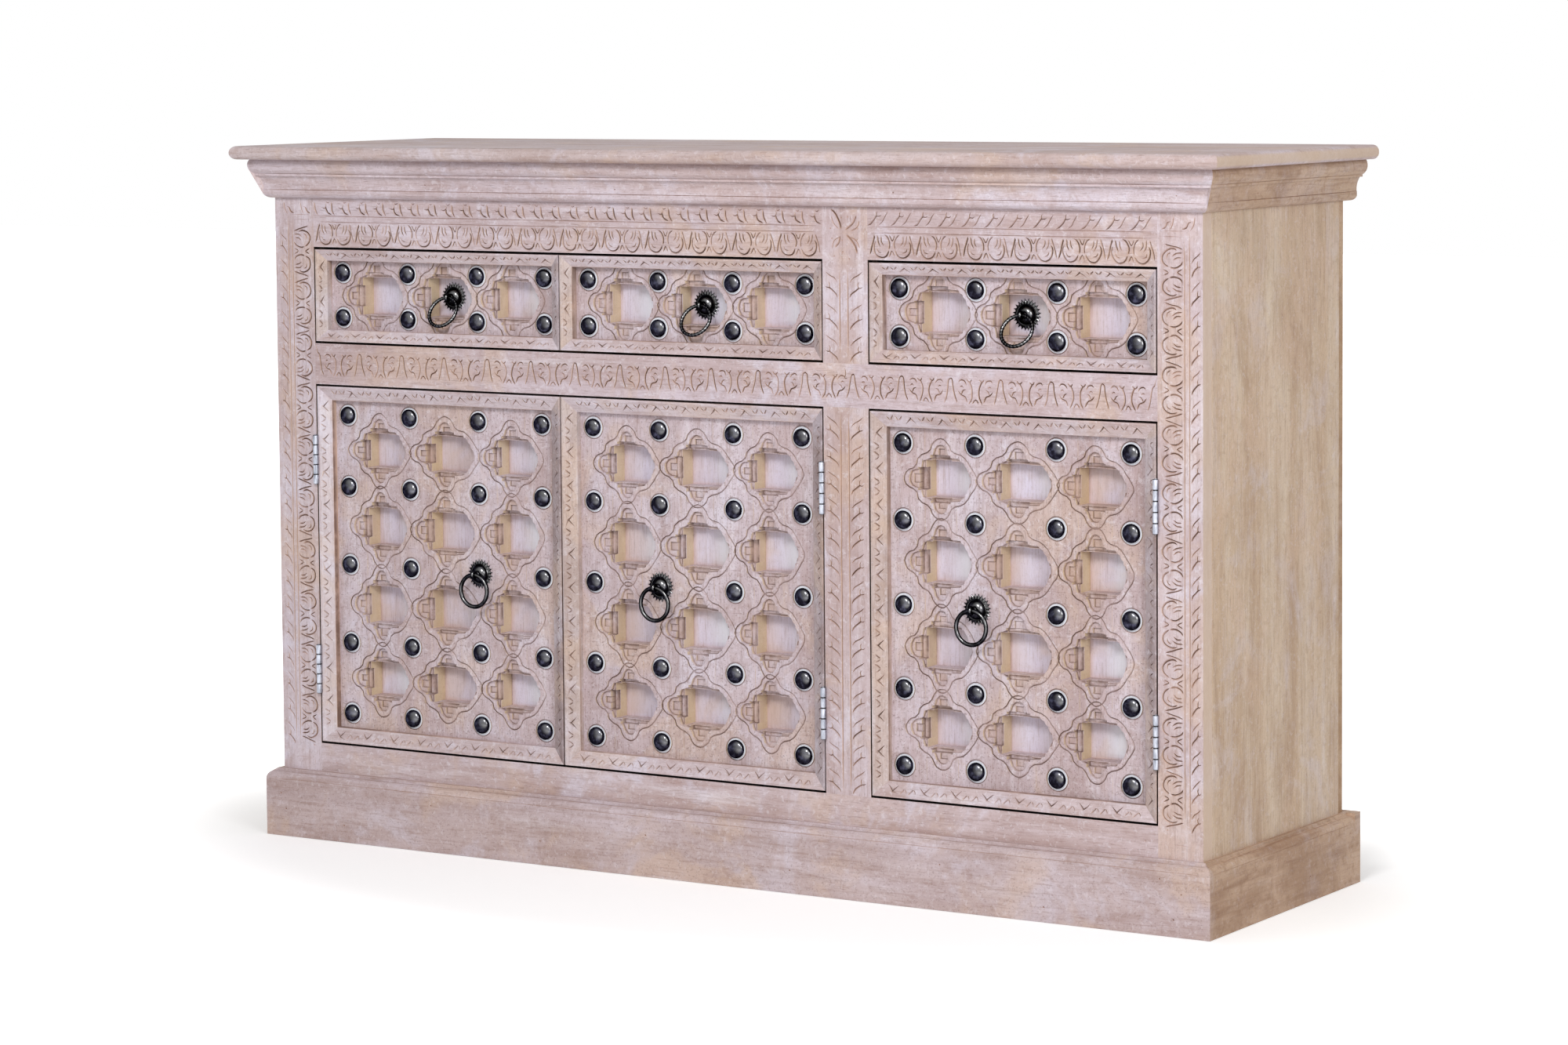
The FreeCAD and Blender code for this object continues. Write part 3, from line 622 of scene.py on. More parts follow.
def turns_over(place):
    """True if the placing mirrors the band."""
    o, a, b = (np.array(place(*p), float) for p in ((0, 0), (1, 0), (0, 1)))
    return (a - o)[0] * (b - o)[1] - (a - o)[1] * (b - o)[0] < 0


def with_mirrored(strokes, about):
    """The strokes and the same strokes mirrored, with their steep and sloping sides swapped."""
    return strokes + [([(about - s, t) for s, t in points], depth, right, left, ends)
                      for points, depth, left, right, ends in strokes]


def scroll_motif(p, spike_depth=1.8, spike_width=1.5):
    """A spike that narrows downwards, a ribbed scroll, a cusp and the scroll mirrored."""
    half = [
        ([(7.6, 0.98), (5.0, 0.7), (2.9, 0.42), (0.8, 0.1)], spike_depth, spike_width, 0.6, (0.08, 0.15)),
        ([(9.2, 0.72), (7.2, 0.46), (9.6, 0.18), (15.5, 0.03), (22.5, 0.08), (27.6, 0.34)], 2.1, 0.6, 2.0, (0.12, 0.1)),
        ([(27.6, 0.34), (28.4, 0.6), (25.6, 0.84), (21.0, 0.98)], 1.8, 0.6, 1.9, (0.05, 0.2)),
        ([(11.6, 0.97), (12.4, 0.66), (16.2, 0.44)], 1.5, 1.5, 0.6, (0.15, 0.3)),
        ([(16.4, 0.92), (16.8, 0.68), (20.4, 0.5)], 1.5, 1.5, 0.6, (0.2, 0.3)),
        ([(11.2, 0.42), (13.4, 0.26), (18.6, 0.22)], 1.3, 0.6, 1.3, (0.25, 0.35)),
    ]
    middle = p / 2
    return with_mirrored(half, p) + [
        ([(middle - 4.4, 0.98), (middle, 0.7), (middle + 4.4, 0.98)], 1.7, 1.3, 0.6, (0.15, 0.15)),
        ([(middle - 4.0, 0.02), (middle, 0.3), (middle + 4.0, 0.02)], 1.6, 0.6, 1.3, (0.2, 0.2)),
    ]


def deep_scroll_motif(p):
    return scroll_motif(p, 2.1, 2.0)


def arch_motif(p):
    """A tall spike, a leaf under an arch, and two bowed lines with forks at both ends."""
    m = p / 2
    half = [
        ([(0.0, -0.05), (2.3, 0.03), (3.6, 0.34), (5.6, 0.68), (8.8, 0.97)], 1.6, 0.6, 1.4, (0.0, 0.12)),
        ([(m - 9.0, 0.0), (m - 4.6, 0.28), (m - 4.0, 0.55), (m - 5.6, 0.78), (m - 9.4, 1.0)], 1.7, 1.7, 0.6,
         (0.1, 0.12)),
        ([(m - 12.0, -0.06), (m - 8.4, 0.08), (m - 4.6, -0.04)], 1.4, 1.2, 0.6, (0.15, 0.15)),
        ([(10.5, 0.12), (14.0, 0.02), (18.5, 0.06), (21.5, 0.22)], 1.5, 0.6, 1.5, (0.25, 0.3)),
        ([(10.0, 0.42), (14.5, 0.6), (20.0, 0.68), (23.0, 0.94)], 1.7, 1.7, 0.6, (0.25, 0.2)),
        ([(14.5, 0.6), (17.0, 0.42), (21.5, 0.38)], 1.4, 1.4, 0.6, (0.1, 0.4)),
        ([(12.0, 0.3), (15.0, 0.24), (17.5, 0.32)], 1.2, 1.2, 0.6, (0.2, 0.4)),
    ]
    cusp = ([(m - 4.4, 0.98), (m, 0.8), (m + 4.4, 0.98)], 1.6, 0.6, 1.3, (0.12, 0.12))
    return with_mirrored(half, p) + [cusp]


def leaf_motif(p):
    """A curling leaf edge that ends in a small fork, and a lighter line beside it."""
    return [
        ([(-1.0, 0.04), (5.4, 0.14), (8.4, 0.32), (9.8, 0.52)], 1.9, 2.1, 0.6, (0.35, 0.0)),
        ([(9.8, 0.52), (13.0, 0.5), (16.5, 0.6)], 1.3, 0.9, 0.6, (0.0, 0.6)),
        ([(9.8, 0.52), (8.2, 0.7), (9.0, 0.88)], 1.3, 0.6, 0.9, (0.0, 0.6)),
        ([(p - 0.4, 0.96), (p - 0.6, 0.5), (p - 2.4, 0.2), (p - 6.2, -0.02)], 1.5, 0.7, 2.2, (0.2, 0.3)),
        ([(2.6, 0.98), (6.0, 0.88), (9.0, 0.99)], 1.0, 0.6, 0.9, (0.25, 0.25)),
    ]


def feather_motif(p):
    """One rib of a feather that ends in a small fork, and a lighter rib after it."""
    m = p / 2
    return [
        ([(-2.0, 0.0), (3.0, 0.12), (7.5, 0.4), (10.5, 0.64)], 1.9, 1.8, 0.6, (0.3, 0.0)),
        ([(10.5, 0.64), (14.5, 0.62), (18.0, 0.72)], 1.3, 0.9, 0.6, (0.0, 0.5)),
        ([(10.5, 0.64), (10.2, 0.82), (12.0, 0.98)], 1.3, 0.6, 0.9, (0.0, 0.5)),
        ([(m - 3.0, 0.02), (m + 2.5, 0.24), (m + 6.5, 0.6), (m + 11.0, 0.96)], 1.3, 1.2, 0.6, (0.3, 0.25)),
    ]


def nick_motif(p):
    """A deep arrow nick and two small crescents."""
    strokes = [
        ([(0.0, 0.26), (-3.4, 0.5), (-8.0, 0.84)], 2.2, 0.6, 1.5, (0.0, 0.75)),
        ([(0.0, 0.26), (3.4, 0.5), (8.0, 0.84)], 2.2, 1.5, 0.6, (0.0, 0.75)),
        ([(-0.8, 0.16), (0.0, 0.4)], 1.9, 1.5, 1.5, (0.3, 0.3)),
    ]
    for s in (0.36 * p, 0.64 * p):
        strokes += [
            ([(s - 5.0, 0.04), (s - 2.4, 0.24), (s + 1.0, 0.52)], 1.6, 1.7, 0.6, (0.3, 0.1)),
            ([(s + 1.0, 0.52), (s + 3.8, 0.3), (s + 4.4, 0.1)], 1.6, 0.6, 1.2, (0.1, 0.4)),
        ]
    return [([(s + 0.18 * p, t) for s, t in points], *rest) for points, *rest in strokes]


def groove_line(relief, points, depth=1.0, left=0.5, right=0.9):
    """A long ruled line, with a slight waver."""
    a, b = (np.array(p, float) for p in points)
    length = np.linalg.norm(b - a)
    count = max(2, int(length / 24))
    normal = np.array([-(b - a)[1], (b - a)[0]]) / length
    line = [a + (b - a) * i / count + normal * random.uniform(-0.15, 0.15) for i in range(count + 1)]
    relief.stroke(line, depth, left, right, ends=(0.01, 0.01))


def pit(relief, u, v, radius, depth):
    """A small round punch mark."""
    for share, sides in ((1.0, 9), (0.5, 6)):
        relief.line(circle(u, v, radius * share, sides), closed=True)
    relief.strokes.append(Stroke([(u - 0.02, v), (u + 0.02, v)], depth, radius * 0.93, radius * 0.93, ends=(0, 0)))


# ---- Face frame

def stile(name, inner, way):
    """An outer stile: a wide band of scrolls inside, a double line and a narrow band of ribs outside.

    Places across it are counted from its inner edge, outwards."""
    def across(distance):
        return inner + way * distance

    relief = Relief(rectangle(*sorted((inner, way * HALF_WIDTH)), FRAME_FOOT, TOP_UNDERSIDE))
    line_top = CORNICE_BASE - 27.0
    band(relief, lambda s, t: (across(6.0 + t), DOOR_BASE - 2 + s), line_top - 6 - DOOR_BASE, 27.0, 68.0, scroll_motif)
    band(relief, lambda s, t: (across(43.0 + t), DOOR_BASE - 4 + s), line_top - 8 - DOOR_BASE, 12.5, 34.0,
         feather_motif)
    corner = CORNICE_BASE - 24.0
    for foot in (4.0, 31.0):
        leaf = [(across(foot + s), corner + 3 + t) for s, t in ((0, 1.0), (6, 3.0), (9, 9.0))]
        relief.stroke(leaf, 1.8, *(2.0, 0.6)[::way], ends=(0.3, 0.2), steps=3)
        tip_u, tip_v = leaf[-1]
        relief.stroke([leaf[-1], (tip_u + way * 4.5, tip_v + 1.5)], 1.4, 0.8, 0.8, ends=(0.0, 0.6))
        slant = [(across(foot + s), corner + t) for s, t in ((17, 20), (15, 9), (10, 2))]
        relief.stroke(slant, 1.1, 1.0, 1.0, ends=(0.2, 0.3), steps=3)
    for offset, end in ((34.5, line_top - 1.0), (41.0, line_top + 5.5)):
        groove_line(relief, [(across(offset), DOOR_BASE - 2), (across(offset), end)], 1.0)
        groove_line(relief, [(across(1.0), end), (across(offset), end)], 0.8)
    groove_line(relief, [(across(12.0), PLINTH_TOP + 17.0), (across(50.0), PLINTH_TOP + 16.0)], 0.6)
    groove_line(relief, [(across(11.0), PLINTH_TOP + 3.0), (across(11.0), PLINTH_TOP + 20.0)], 0.5)
    pit(relief, across(12), PLINTH_TOP + 33, 1.2, 1.6)
    carved_piece(name, [relief], front_up)


def center_stile():
    """Two lengths with a rib between two bands of leaves, and a four-petal flower on the block at the top."""
    middle = (CENTER_LEFT + CENTER_RIGHT) / 2
    rib = middle - 2
    reliefs = []
    for low, high in ((UNDER_DOORS, OVER_DOORS), (UNDER_DRAWERS, TOP_UNDERSIDE)):
        relief = Relief(rectangle(CENTER_LEFT, CENTER_RIGHT, low, high))
        top = min(high, DRAWER_TOP) - 4
        for way in (-1, 1):
            start = rib + way * 8.0
            band(relief, lambda s, t: (start + way * t, low + 4 + s), top - low - 5, 19.0, 34.0, feather_motif)
            groove_line(relief, [(rib + way * 5.6, low + 2), (rib + way * 5.6, top)], 1.2, 0.7, 1.3)
        reliefs.append(relief)
    flower(reliefs[1], middle, (DRAWER_TOP + CORNICE_BASE) / 2)
    carved_piece("stile_center", reliefs, front_up)


def flower(relief, u, v):
    """Four petals on the diagonals, each with one deep curved side and a fine one, and dots between them."""
    petals = (
        ([(-20.0, 29.0), (-13.5, 23.0), (-8.0, 13.0), (-5.5, 5.0)], 2.0, 2.6, 0.7),
        ([(16.5, 22.0), (13.0, 14.0), (8.0, 9.0), (0.5, 4.0)], 2.0, 0.7, 2.6),
        ([(1.5, -1.5), (8.0, -7.5), (13.5, -15.0), (17.0, -24.0)], 2.0, 2.6, 0.7),
        ([(-6.0, -3.0), (-8.0, -11.0), (-13.5, -17.0)], 2.0, 0.7, 2.6),
        ([(-19.0, 21.0), (-15.0, 12.0), (-8.0, 5.0)], 1.1, 0.6, 1.6),
        ([(20.0, 16.0), (17.0, 8.0), (8.0, 3.0)], 1.1, 1.4, 0.6),
        ([(6.0, -4.0), (15.0, -8.0), (21.0, -18.0)], 1.1, 1.4, 0.6),
        ([(-7.0, -4.0), (-15.0, -9.0), (-18.0, -19.0)], 1.1, 0.6, 1.4),
    )
    for points, *cut in petals:
        relief.stroke([(u + x, v + z) for x, z in points], *cut, ends=(0.12, 0.15), steps=5)
    dots = ((-5, 19), (4, 20), (-20, 6), (-18, -6), (18, 6), (17, -7), (-4, -8), (-3, -22), (-15, -27), (6, -30))
    for x, z in dots:
        pit(relief, u + x, v + z, 1.2, 1.6)


def rail_top():
    """A band of small leaves over a ruled fillet and a band of scrolls, in two lengths."""
    reliefs = []
    for left, right, way, pitch, motif in ((LEFT_STILE, CENTER_LEFT, -1, 27.3, leaf_motif),
                                           (CENTER_RIGHT, RIGHT_STILE, 1, 31.0, feather_motif)):
        relief = Relief(rectangle(left, right, OVER_DRAWERS, TOP_UNDERSIDE))
        length = right - left - 4
        start = left + 2 if way > 0 else right - 2
        band(relief, lambda s, t: (start + way * s, CORNICE_BASE - 22 + t), length, 18.0, pitch, motif)
        band(relief, lambda s, t: (left + 2 + s, DRAWER_TOP + 4 + t), length, 28.5, 66.0, deep_scroll_motif)
        for z in (DRAWER_TOP + 33.5, DRAWER_TOP + 41.0):
            groove_line(relief, [(left + 2, z), (right - 2, z)], 1.0)
        reliefs.append(relief)
    carved_piece("rail_top", reliefs, front_across)


def rail_middle():
    """One band of arches with their spikes upwards, across the whole front, and a scar near its middle."""
    relief = Relief(rectangle(LEFT_STILE, RIGHT_STILE, OVER_DOORS, UNDER_DRAWERS))
    band(relief, lambda s, t: (LEFT_STILE + 4 + s, DRAWER_BASE - 15.0 - t), RIGHT_STILE - LEFT_STILE - 8, 29.0, 67.5,
         arch_motif)
    relief.stroke([(193, 640), (194, 632), (192, 628), (197, 627)], 1.8, 0.7, 0.7, ends=(0.2, 0.2), steps=3)
    carved_piece("rail_middle", [relief], rail_wood)


def rail_bottom():
    """The plain rail under the doors."""
    relief = Relief(rectangle(LEFT_STILE, RIGHT_STILE, FRAME_FOOT, UNDER_DOORS))
    for x in (-588, -330, -232, -60, 205, 590):
        pit(relief, x + random.uniform(-6, 6), 103 + random.uniform(-7, 7), 1.3, 1.4)
    carved_piece("rail_bottom", [relief], front_across, "board")


# ---- Fronts

def border(name, x_range, z_range, width, thickness, bevel, pitch, left_pale, left_wood):
    """Four mitred mouldings whose inward slope is carved with nicks and crescents."""
    build = Build()
    outer_wall = [(0, thickness), (0, 8.0), (0, 1.1), (0, 0)]
    edge_and_back = [(width, bevel), (width, LATTICE_FACE), (width - 5, LATTICE_FACE), (width - 5, thickness)]
    section = edge_and_back + outer_wall
    # Stain along the section; the 1.5 on the outer edge is painted shadow, black in the gap round the front.
    shades = [0.7, 0.7, 0.3, 0.3, 0.1, 0.3, 1.5, 0.0]
    corners = [np.array(corner) for corner in rectangle(*x_range, *z_range)]
    for i, (here, there) in enumerate(zip(corners, corners[1:] + corners[:1])):
        length = np.linalg.norm(there - here)
        along = (there - here) / length
        inward = np.array([-along[1], along[0]])

        def place(s, w, d):
            x, z = here + along * s + inward * w
            return (x, d, z)

        relief = Relief([(0, 0), (length, 0), (length - width, width), (width, width)])
        relief.line([(2.0, 2.0), (length - 2.0, 2.0)])
        band(relief, lambda s, t: (width + s, 3.2 + t), length - 2 * width, width - 5.0, pitch, nick_motif)
        relief.line([(width - 0.8, width - 0.8), (length - width + 0.8, width - 0.8)])
        places, triangles, depth = relief.mesh()
        slope = np.clip((places[:, 1] - 2.0) / (width - 2.0), 0, 1) * bevel
        # The right member takes the darker copy, painted shade; the left member takes the wood it is given, on most
        # fronts a warmer copy, painted warm light.
        member_wood = (0, 1, 0, 2)[i]
        stain = np.maximum(np.clip(depth / 3.0, 0, 0.9), np.where(places[:, 1] > width - 0.3, 0.55, 0))
        build.add([place(u, v, d + g) for (u, v), d, g in zip(places, depth, slope)], triangles, member_wood, stain,
                  np.full(len(places), left_pale if i == 3 else 0.12))
        count = len(section)
        rest = [place(s, w, y) for side in (0, 1) for w, y in section for s in ((w, length - w)[side],)]
        build.add(rest, [(k, k + 1, k + 1 + count, k + count) for k in range(count - 1)], member_wood, shades * 2)
        whole = [(0, 0), (2.0, 0)] + section[:-1]
        for side in (0, 1):
            build.add([place((w, length - w)[side], w, y) for w, y in whole], [tuple(range(len(whole)))], member_wood)
    build.finish(name + "_border", "carved", [front_across, shaded_wood, left_wood], name, smooth=14)


# A ribbon's edges and an opening's right side, in shares of half a cell's width and height. The left quarters are
# stepped and the right ones fuller.
RIBBON_START = [(0.0, 0.90), (0.09, 0.88), (0.17, 0.79), (0.21, 0.66)]
RIBBON_INNER = RIBBON_START + [(0.265, 0.565), (0.36, 0.515), (0.487, 0.47), (0.515, 0.40), (0.535, 0.31),
                               (0.60, 0.255), (0.72, 0.24), (0.81, 0.19), (0.865, 0.09), (0.878, 0.0)]
RIBBON_INNER_FULL = RIBBON_START + [(0.265, 0.575), (0.38, 0.56), (0.53, 0.55), (0.575, 0.49), (0.64, 0.455),
                                    (0.675, 0.375), (0.735, 0.32), (0.76, 0.22), (0.83, 0.15), (0.86, 0.0)]
OUTER_START = [(0.0, 1.06), (0.08, 1.045), (0.17, 0.985), (0.245, 0.89), (0.295, 0.77)]
OUTER_END = [(1.015, 0.07), (1.03, 0.0)]
RIBBON_OUTER = [*OUTER_START, (0.38, 0.685), (0.53, 0.62), (0.635, 0.52), (0.675, 0.37), (0.77, 0.275),
                (0.88, 0.235), (0.965, 0.165), *OUTER_END]
RIBBON_OUTER_FULL = [*OUTER_START, (0.39, 0.70), (0.56, 0.655), (0.67, 0.58), (0.76, 0.48), (0.83, 0.37),
                     (0.90, 0.27), (0.965, 0.175), *OUTER_END]
HOLE_CORNER = 0.53
HOLE_SIDE = [(0.58, 0.45), (0.64, 0.40), (0.68, 0.33), (0.725, 0.25), (0.75, 0.16), (0.775, 0.05)]
RING_LOWERS_RIBBON = 2.8


def ribbon_edge(left, right, cell, shake):
    """A closed outline from a left and a right quarter, starting at the top and going round."""
    u, v, half_w, half_h = cell
    points = []
    for x, z, quarter in ((1, 1, right), (1, -1, right[::-1]), (-1, -1, left), (-1, 1, left[::-1])):
        points += [(x * half_w * a, z * half_h * b) for a, b in quarter[:-1]]
    return [(u + (x + random.uniform(-shake, shake)), v + (z + random.uniform(-shake, shake))) for x, z in points]


def arm(u, v, x, z, start, end, half):
    """A rectangle that reaches out from the middle of a cell in one of the four directions."""
    if x:
        return rectangle(*sorted((u + x * start, u + x * end)), v - half, v + half)
    return rectangle(u - half, u + half, *sorted((v + z * start, v + z * end)))


class Levels:
    """Floors cut into a face: each is a polygon with a depth, a stain and a wash, and a later one wins."""

    def __init__(self, relief):
        self.relief = relief
        self.floors = []

    def add(self, polygon, depth, groove=0.3, pale=0.0, wall=0.5, foot=0.7):
        for inset in (0, wall, wall + 1.0):
            self.relief.line(shrunk(polygon, inset) if inset else polygon, closed=True)
        self.floors.append((shrunk(polygon, wall / 2), depth, foot, pale))
        self.floors.append((shrunk(polygon, wall + 0.5), depth, groove, pale))

    def edge(self, polygon, groove):
        """Stains a floor round a hole and leaves its depth."""
        self.relief.line(polygon, closed=True)
        self.floors.append((shrunk(polygon, -0.2), None, groove, 0.0))

    def read(self, places):
        depth, groove, pale = (np.zeros(len(places)) for _ in range(3))
        for polygon, level, stain, white in self.floors:
            near = within(places, polygon.min(0), polygon.max(0))
            hit = near[inside(places[near], polygon)]
            groove[hit] = stain
            if level is not None:
                depth[hit], pale[hit] = level, white
        return depth, groove, pale


def quatrefoil(relief, levels, cell, held, on_pull):
    """A stepped quatrefoil in its ribbon, with worn joint lines beside it. Returns the hole through the panel."""
    u, v, half_w, half_h = cell
    u += random.uniform(-0.6, 0.6)
    v += random.uniform(-0.6, 0.6)
    outer = ribbon_edge(RIBBON_OUTER, RIBBON_OUTER_FULL, (u, v, half_w, half_h), 0.35)
    relief.stroke(held(outer + outer[:1]), 1.5, 0.5, 1.9, ends=(0, 0))
    inner = ribbon_edge(RIBBON_INNER, RIBBON_INNER_FULL, (u, v, half_w, half_h), 0.3)
    if on_pull:
        inner = [(a, b - RING_LOWERS_RIBBON if b < v - 0.4 * half_h else b) for a, b in inner]
    first = random.uniform(3.4, 4.2)
    levels.add(held(inner), first, 0.12, random.uniform(-0.7, 0.0))
    open_w, open_h = half_w * 0.44 + random.uniform(-0.7, 0.7), half_h * 0.485 + random.uniform(-0.7, 0.7)
    second = LATTICE_THICKNESS * random.uniform(0.30, 0.48)
    for x, z in ((1, 0), (-1, 0), (0, 1), (0, -1)):
        level = second * random.uniform(0.8, 1.2)
        half, mouth = (half_w, open_w - 3) if x else (half_h, open_h - 3)
        across = half_h * random.uniform(0.27, 0.3) if x else half_w * random.uniform(0.265, 0.29)
        reach = half * random.uniform(0.60, 0.64)
        tip = half * random.uniform(0.76, 0.80)
        narrow = across * random.uniform(0.32, 0.42)
        if x > 0:
            # No wide lobe fits on the right, where the hole reaches further, only a long narrow one
            tip = half_w * 0.845
        levels.add(arm(u, v, x, z, mouth, tip, narrow), first + random.uniform(1.8, 2.8), 0.25,
                   random.uniform(-0.6, -0.1))
        if x <= 0:
            wash = random.uniform(-0.9, -0.2) if x else random.uniform(-0.5, 0.1)
            levels.add(arm(u, v, x, z, mouth, reach, across), level, 0.08, wash)
    side = [(u + half_w * a, v + half_h * b) for a, b in HOLE_SIDE]
    left, corner, low, high = u - open_w, u + half_w * HOLE_CORNER, v - open_h, v + open_h
    hole = [(left, low), (corner, low), *((a, 2 * v - b) for a, b in side), *side[::-1], (corner, high), (left, high)]
    levels.edge(shrunk(hole, -1.2), 0.85)
    levels.edge(shrunk(hole, -0.3), 0.1)
    levels.add(hole, LATTICE_THICKNESS, 0.05, foot=0.2)
    for way in (-1, 1):
        for axis, middle, half, fixed, chance in ((1, v, half_h, u + way * open_w, 0.5),
                                                  (0, u, half_w, v + way * open_h, 0.4)):
            for start, end in ((-1.5, -0.5), (0.5, 1.5)):
                seam = [(fixed, middle + half * share) for share in (start, end)]
                seam = held(seam if axis else [place[::-1] for place in seam])
                if seam[1][axis] - seam[0][axis] > half * 0.6 and random.random() < chance:
                    groove_line(relief, seam, 0.4, 0.3, 0.3)
    return shrunk(hole, 0.5)


def lattice(name, x_range, z_range, inset, cells, studs, pull_cell=None):
    """The lattice panel: wavy ribbons round stepped quatrefoils, with a shallow dish for each stud."""
    x0, x1 = x_range[0] + inset, x_range[1] - inset
    z0, z1 = z_range[0] + inset, z_range[1] - inset
    margin = 1.5

    def held(points):
        return np.clip(points, (x0 + margin, z0 + margin), (x1 - margin, z1 - margin))

    relief = Relief(rectangle(x0, x1, z0, z1))
    levels = Levels(relief)
    holes = [quatrefoil(relief, levels, cell, held, cell is pull_cell) for cell in cells]
    for u, v in studs:
        ring = circle(u, v, 14.4, 28)
        relief.stroke(ring + ring[:1], 1.2, 0.7, 0.7, ends=(0, 0))
        levels.add(circle(u, v, 13.8, 28), 1.1, 0.0, 1.0, wall=0.6, foot=0.1)
    places, triangles, carved = relief.mesh()
    depth, groove, pale = levels.read(places)
    flat = depth == 0
    depth = np.where(flat, carved, depth)
    groove = np.where(flat, np.clip(carved / 1.4, 0, 1), groove)

    def open_ones(places, triangles):
        centre = places[np.array(triangles)].mean(1)
        return np.any([inside(centre, hole) for hole in holes], axis=0)

    through = open_ones(places, triangles) & (depth[np.array(triangles)] >= LATTICE_THICKNESS - 1e-6).all(1)
    kept = [t for t, gone in zip(triangles, through) if not gone]
    build = Build()
    vertices = [(u, LATTICE_FACE + d, v) for (u, v), d in zip(places, depth)]
    build.add(vertices, kept, 0, groove, pale)
    loops = boundary_loops(kept)
    rim = max(loops, key=lambda loop: np.ptp(places[loop][:, 0]))
    build.add([vertices[i] for i in rim] + [(places[i][0], LATTICE_BACK, places[i][1]) for i in rim],
              walls(len(rim), 2))
    back_points, back_edges = [], []
    for loop in loops:
        base, count = len(back_points), len(loop)
        back_points += [places[i] for i in loop]
        back_edges += [(base + i, base + (i + 1) % count) for i in range(count)]
    back_places, back_triangles = triangulate(back_points, back_edges)
    build.add([(u, LATTICE_BACK, v) for u, v in back_places],
              [t for t, gone in zip(back_triangles, open_ones(back_places, back_triangles)) if not gone])
    build.finish(name + "_lattice", "carved", [lattice_wood], name, smooth=14)


def backing(name, board, cells):
    """The board behind the lattice, washed pale inside each opening, with painted light towards the right of each, and
    darker brown towards its edges and its left and lower corners.
    """
    low, high = node_box(board)
    front, back = low[1], high[1]
    relief = Relief(rectangle(low[0], high[0], low[2], high[2]))
    looks = []
    for u, v, half_w, half_h in cells:
        u += half_w * 0.09
        w, h = half_w * 0.54, half_h * 0.52
        for inset in (0.0, 2.5, 6.0, 10.0):
            relief.line(shrunk(rectangle(u - w, u + w, v - h, v + h), inset), closed=True)
        looks.append((u, v, w, h, random.uniform(0.3, 0.8), random.uniform(-0.45, 0.4), random.uniform(0.1, 1.0),
                      random.uniform(0.0, 0.7)))
    places, triangles, _ = relief.mesh()
    groove, pale = np.zeros(len(places)), np.zeros(len(places))
    for u, v, w, h, edge, wash, left, lower in looks:
        across, up = places[:, 0] - u, places[:, 1] - v
        deep = np.minimum(w - np.abs(across), h - np.abs(up))
        held = deep > -0.01
        corner = np.minimum(np.where(across < 0, w + across, 99) / (1.2 + left),
                            np.where(up < 0, h + up, 99) / (0.6 + lower))
        darkening = np.maximum(edge * np.clip(1 - deep / 3.0, 0, 1), 0.35 * np.clip(1 - corner / 5.0, 0, 1))
        groove = np.where(held, darkening, groove)
        # Painted light: the wash grows towards the right of each opening, against the shade there.
        pale = np.where(held, (wash + 0.6 * across / w) * np.clip(deep / 8.0, 0, 1), pale)
    build = Build()
    build.add([(x, front, z) for x, z in places], triangles, 0, groove, pale)
    loop = max(boundary_loops(triangles), key=len)
    count = len(loop)
    rings = [(places[i][0], y, places[i][1]) for y in (front, back) for i in loop]
    build.add(rings, walls(count, 2))
    build.add(rings[count:], [tuple(range(count))])
    build.finish(board, "washed", [backing_wood], name, smooth=30)


STUD_PROFILE = [(10.8, 1.2), (11.3, -0.6), (11.3, -1.9), (10.9, -3.0), (9.9, -4.2), (8.2, -5.3), (6.0, -6.05),
                (3.3, -6.45), (0.5, -6.55)]
ROSETTE_DOME = [(13.0, -1.2), (13.2, -2.3), (12.6, -3.0), (12.0, -2.9), (11.7, -3.6), (10.9, -5.2), (9.3, -6.9),
                (7.1, -8.2), (5.2, -8.8), (4.4, -8.7), (4.0, -9.6), (3.4, -10.2), (3.0, -10.9)]


def studs_piece(name, places):
    """Forged dome studs, none quite like the next."""
    build = Build()
    for u, v in places:
        size, rise = random.uniform(0.97, 1.02), random.uniform(0.94, 1.0)
        tilt_x, tilt_z = random.uniform(-0.04, 0.04), random.uniform(-0.04, 0.04)
        part = Build()
        lathe(part, [(r * size, h * rise) for r, h in STUD_PROFILE], (0, 0, 0), 24, turn=random.uniform(0, 1))
        shaken = []
        for x, y, z in part.vertices:
            dent = 0.08 * math.sin(x * 1.1 + u) * math.cos(z * 1.3 + v)
            tilt = x * tilt_x + z * tilt_z if y < 0 else 0
            shaken.append((u + x + dent, LATTICE_FACE + y + tilt, v + z + dent))
        build.add(shaken, part.faces)
    build.finish(name + "_studs", "forged", [dome_iron], name, "dark_iron", 50)


def rosette(name, u, foot, v):
    """A toothed back plate, a ribbed dome and a screw eye."""
    build = Build()
    teeth = 24
    outline = []
    for i in range(teeth):
        for share, radius in ((0.0, 15.4), (0.3, 16.6), (0.5, 19.0), (0.7, 16.6)):
            angle = TURN * (i + share) / teeth
            outline.append((radius * math.cos(angle), radius * math.sin(angle)))
    count = len(outline)
    vertices = [(u + a * size, foot - rise, v + b * size)
                for size, rise in ((1, 0.0), (1, 1.0), (0.8, 2.0)) for a, b in outline]
    build.add(vertices, [tuple(range(count)), *walls(count, 3), tuple(range(2 * count, 3 * count))])
    lathe(build, ROSETTE_DOME, (u, foot, v), 32)
    bent_rod(build, Vector((u, foot - EYE_REACH, v)), Vector((0, 1, 0)), Vector((0, 0, 1)), Vector((EYE_WIDENED, 0, 0)),
             EYE_RADIUS, 24, 10, lambda a, k: EYE_ROD)
    build.finish(name + "_rosette", "forged", [pull_iron], name, "dark_iron", 40)


def plain_rod(a, k):
    return 2.65 + 0.07 * math.sin(9 * a + k)


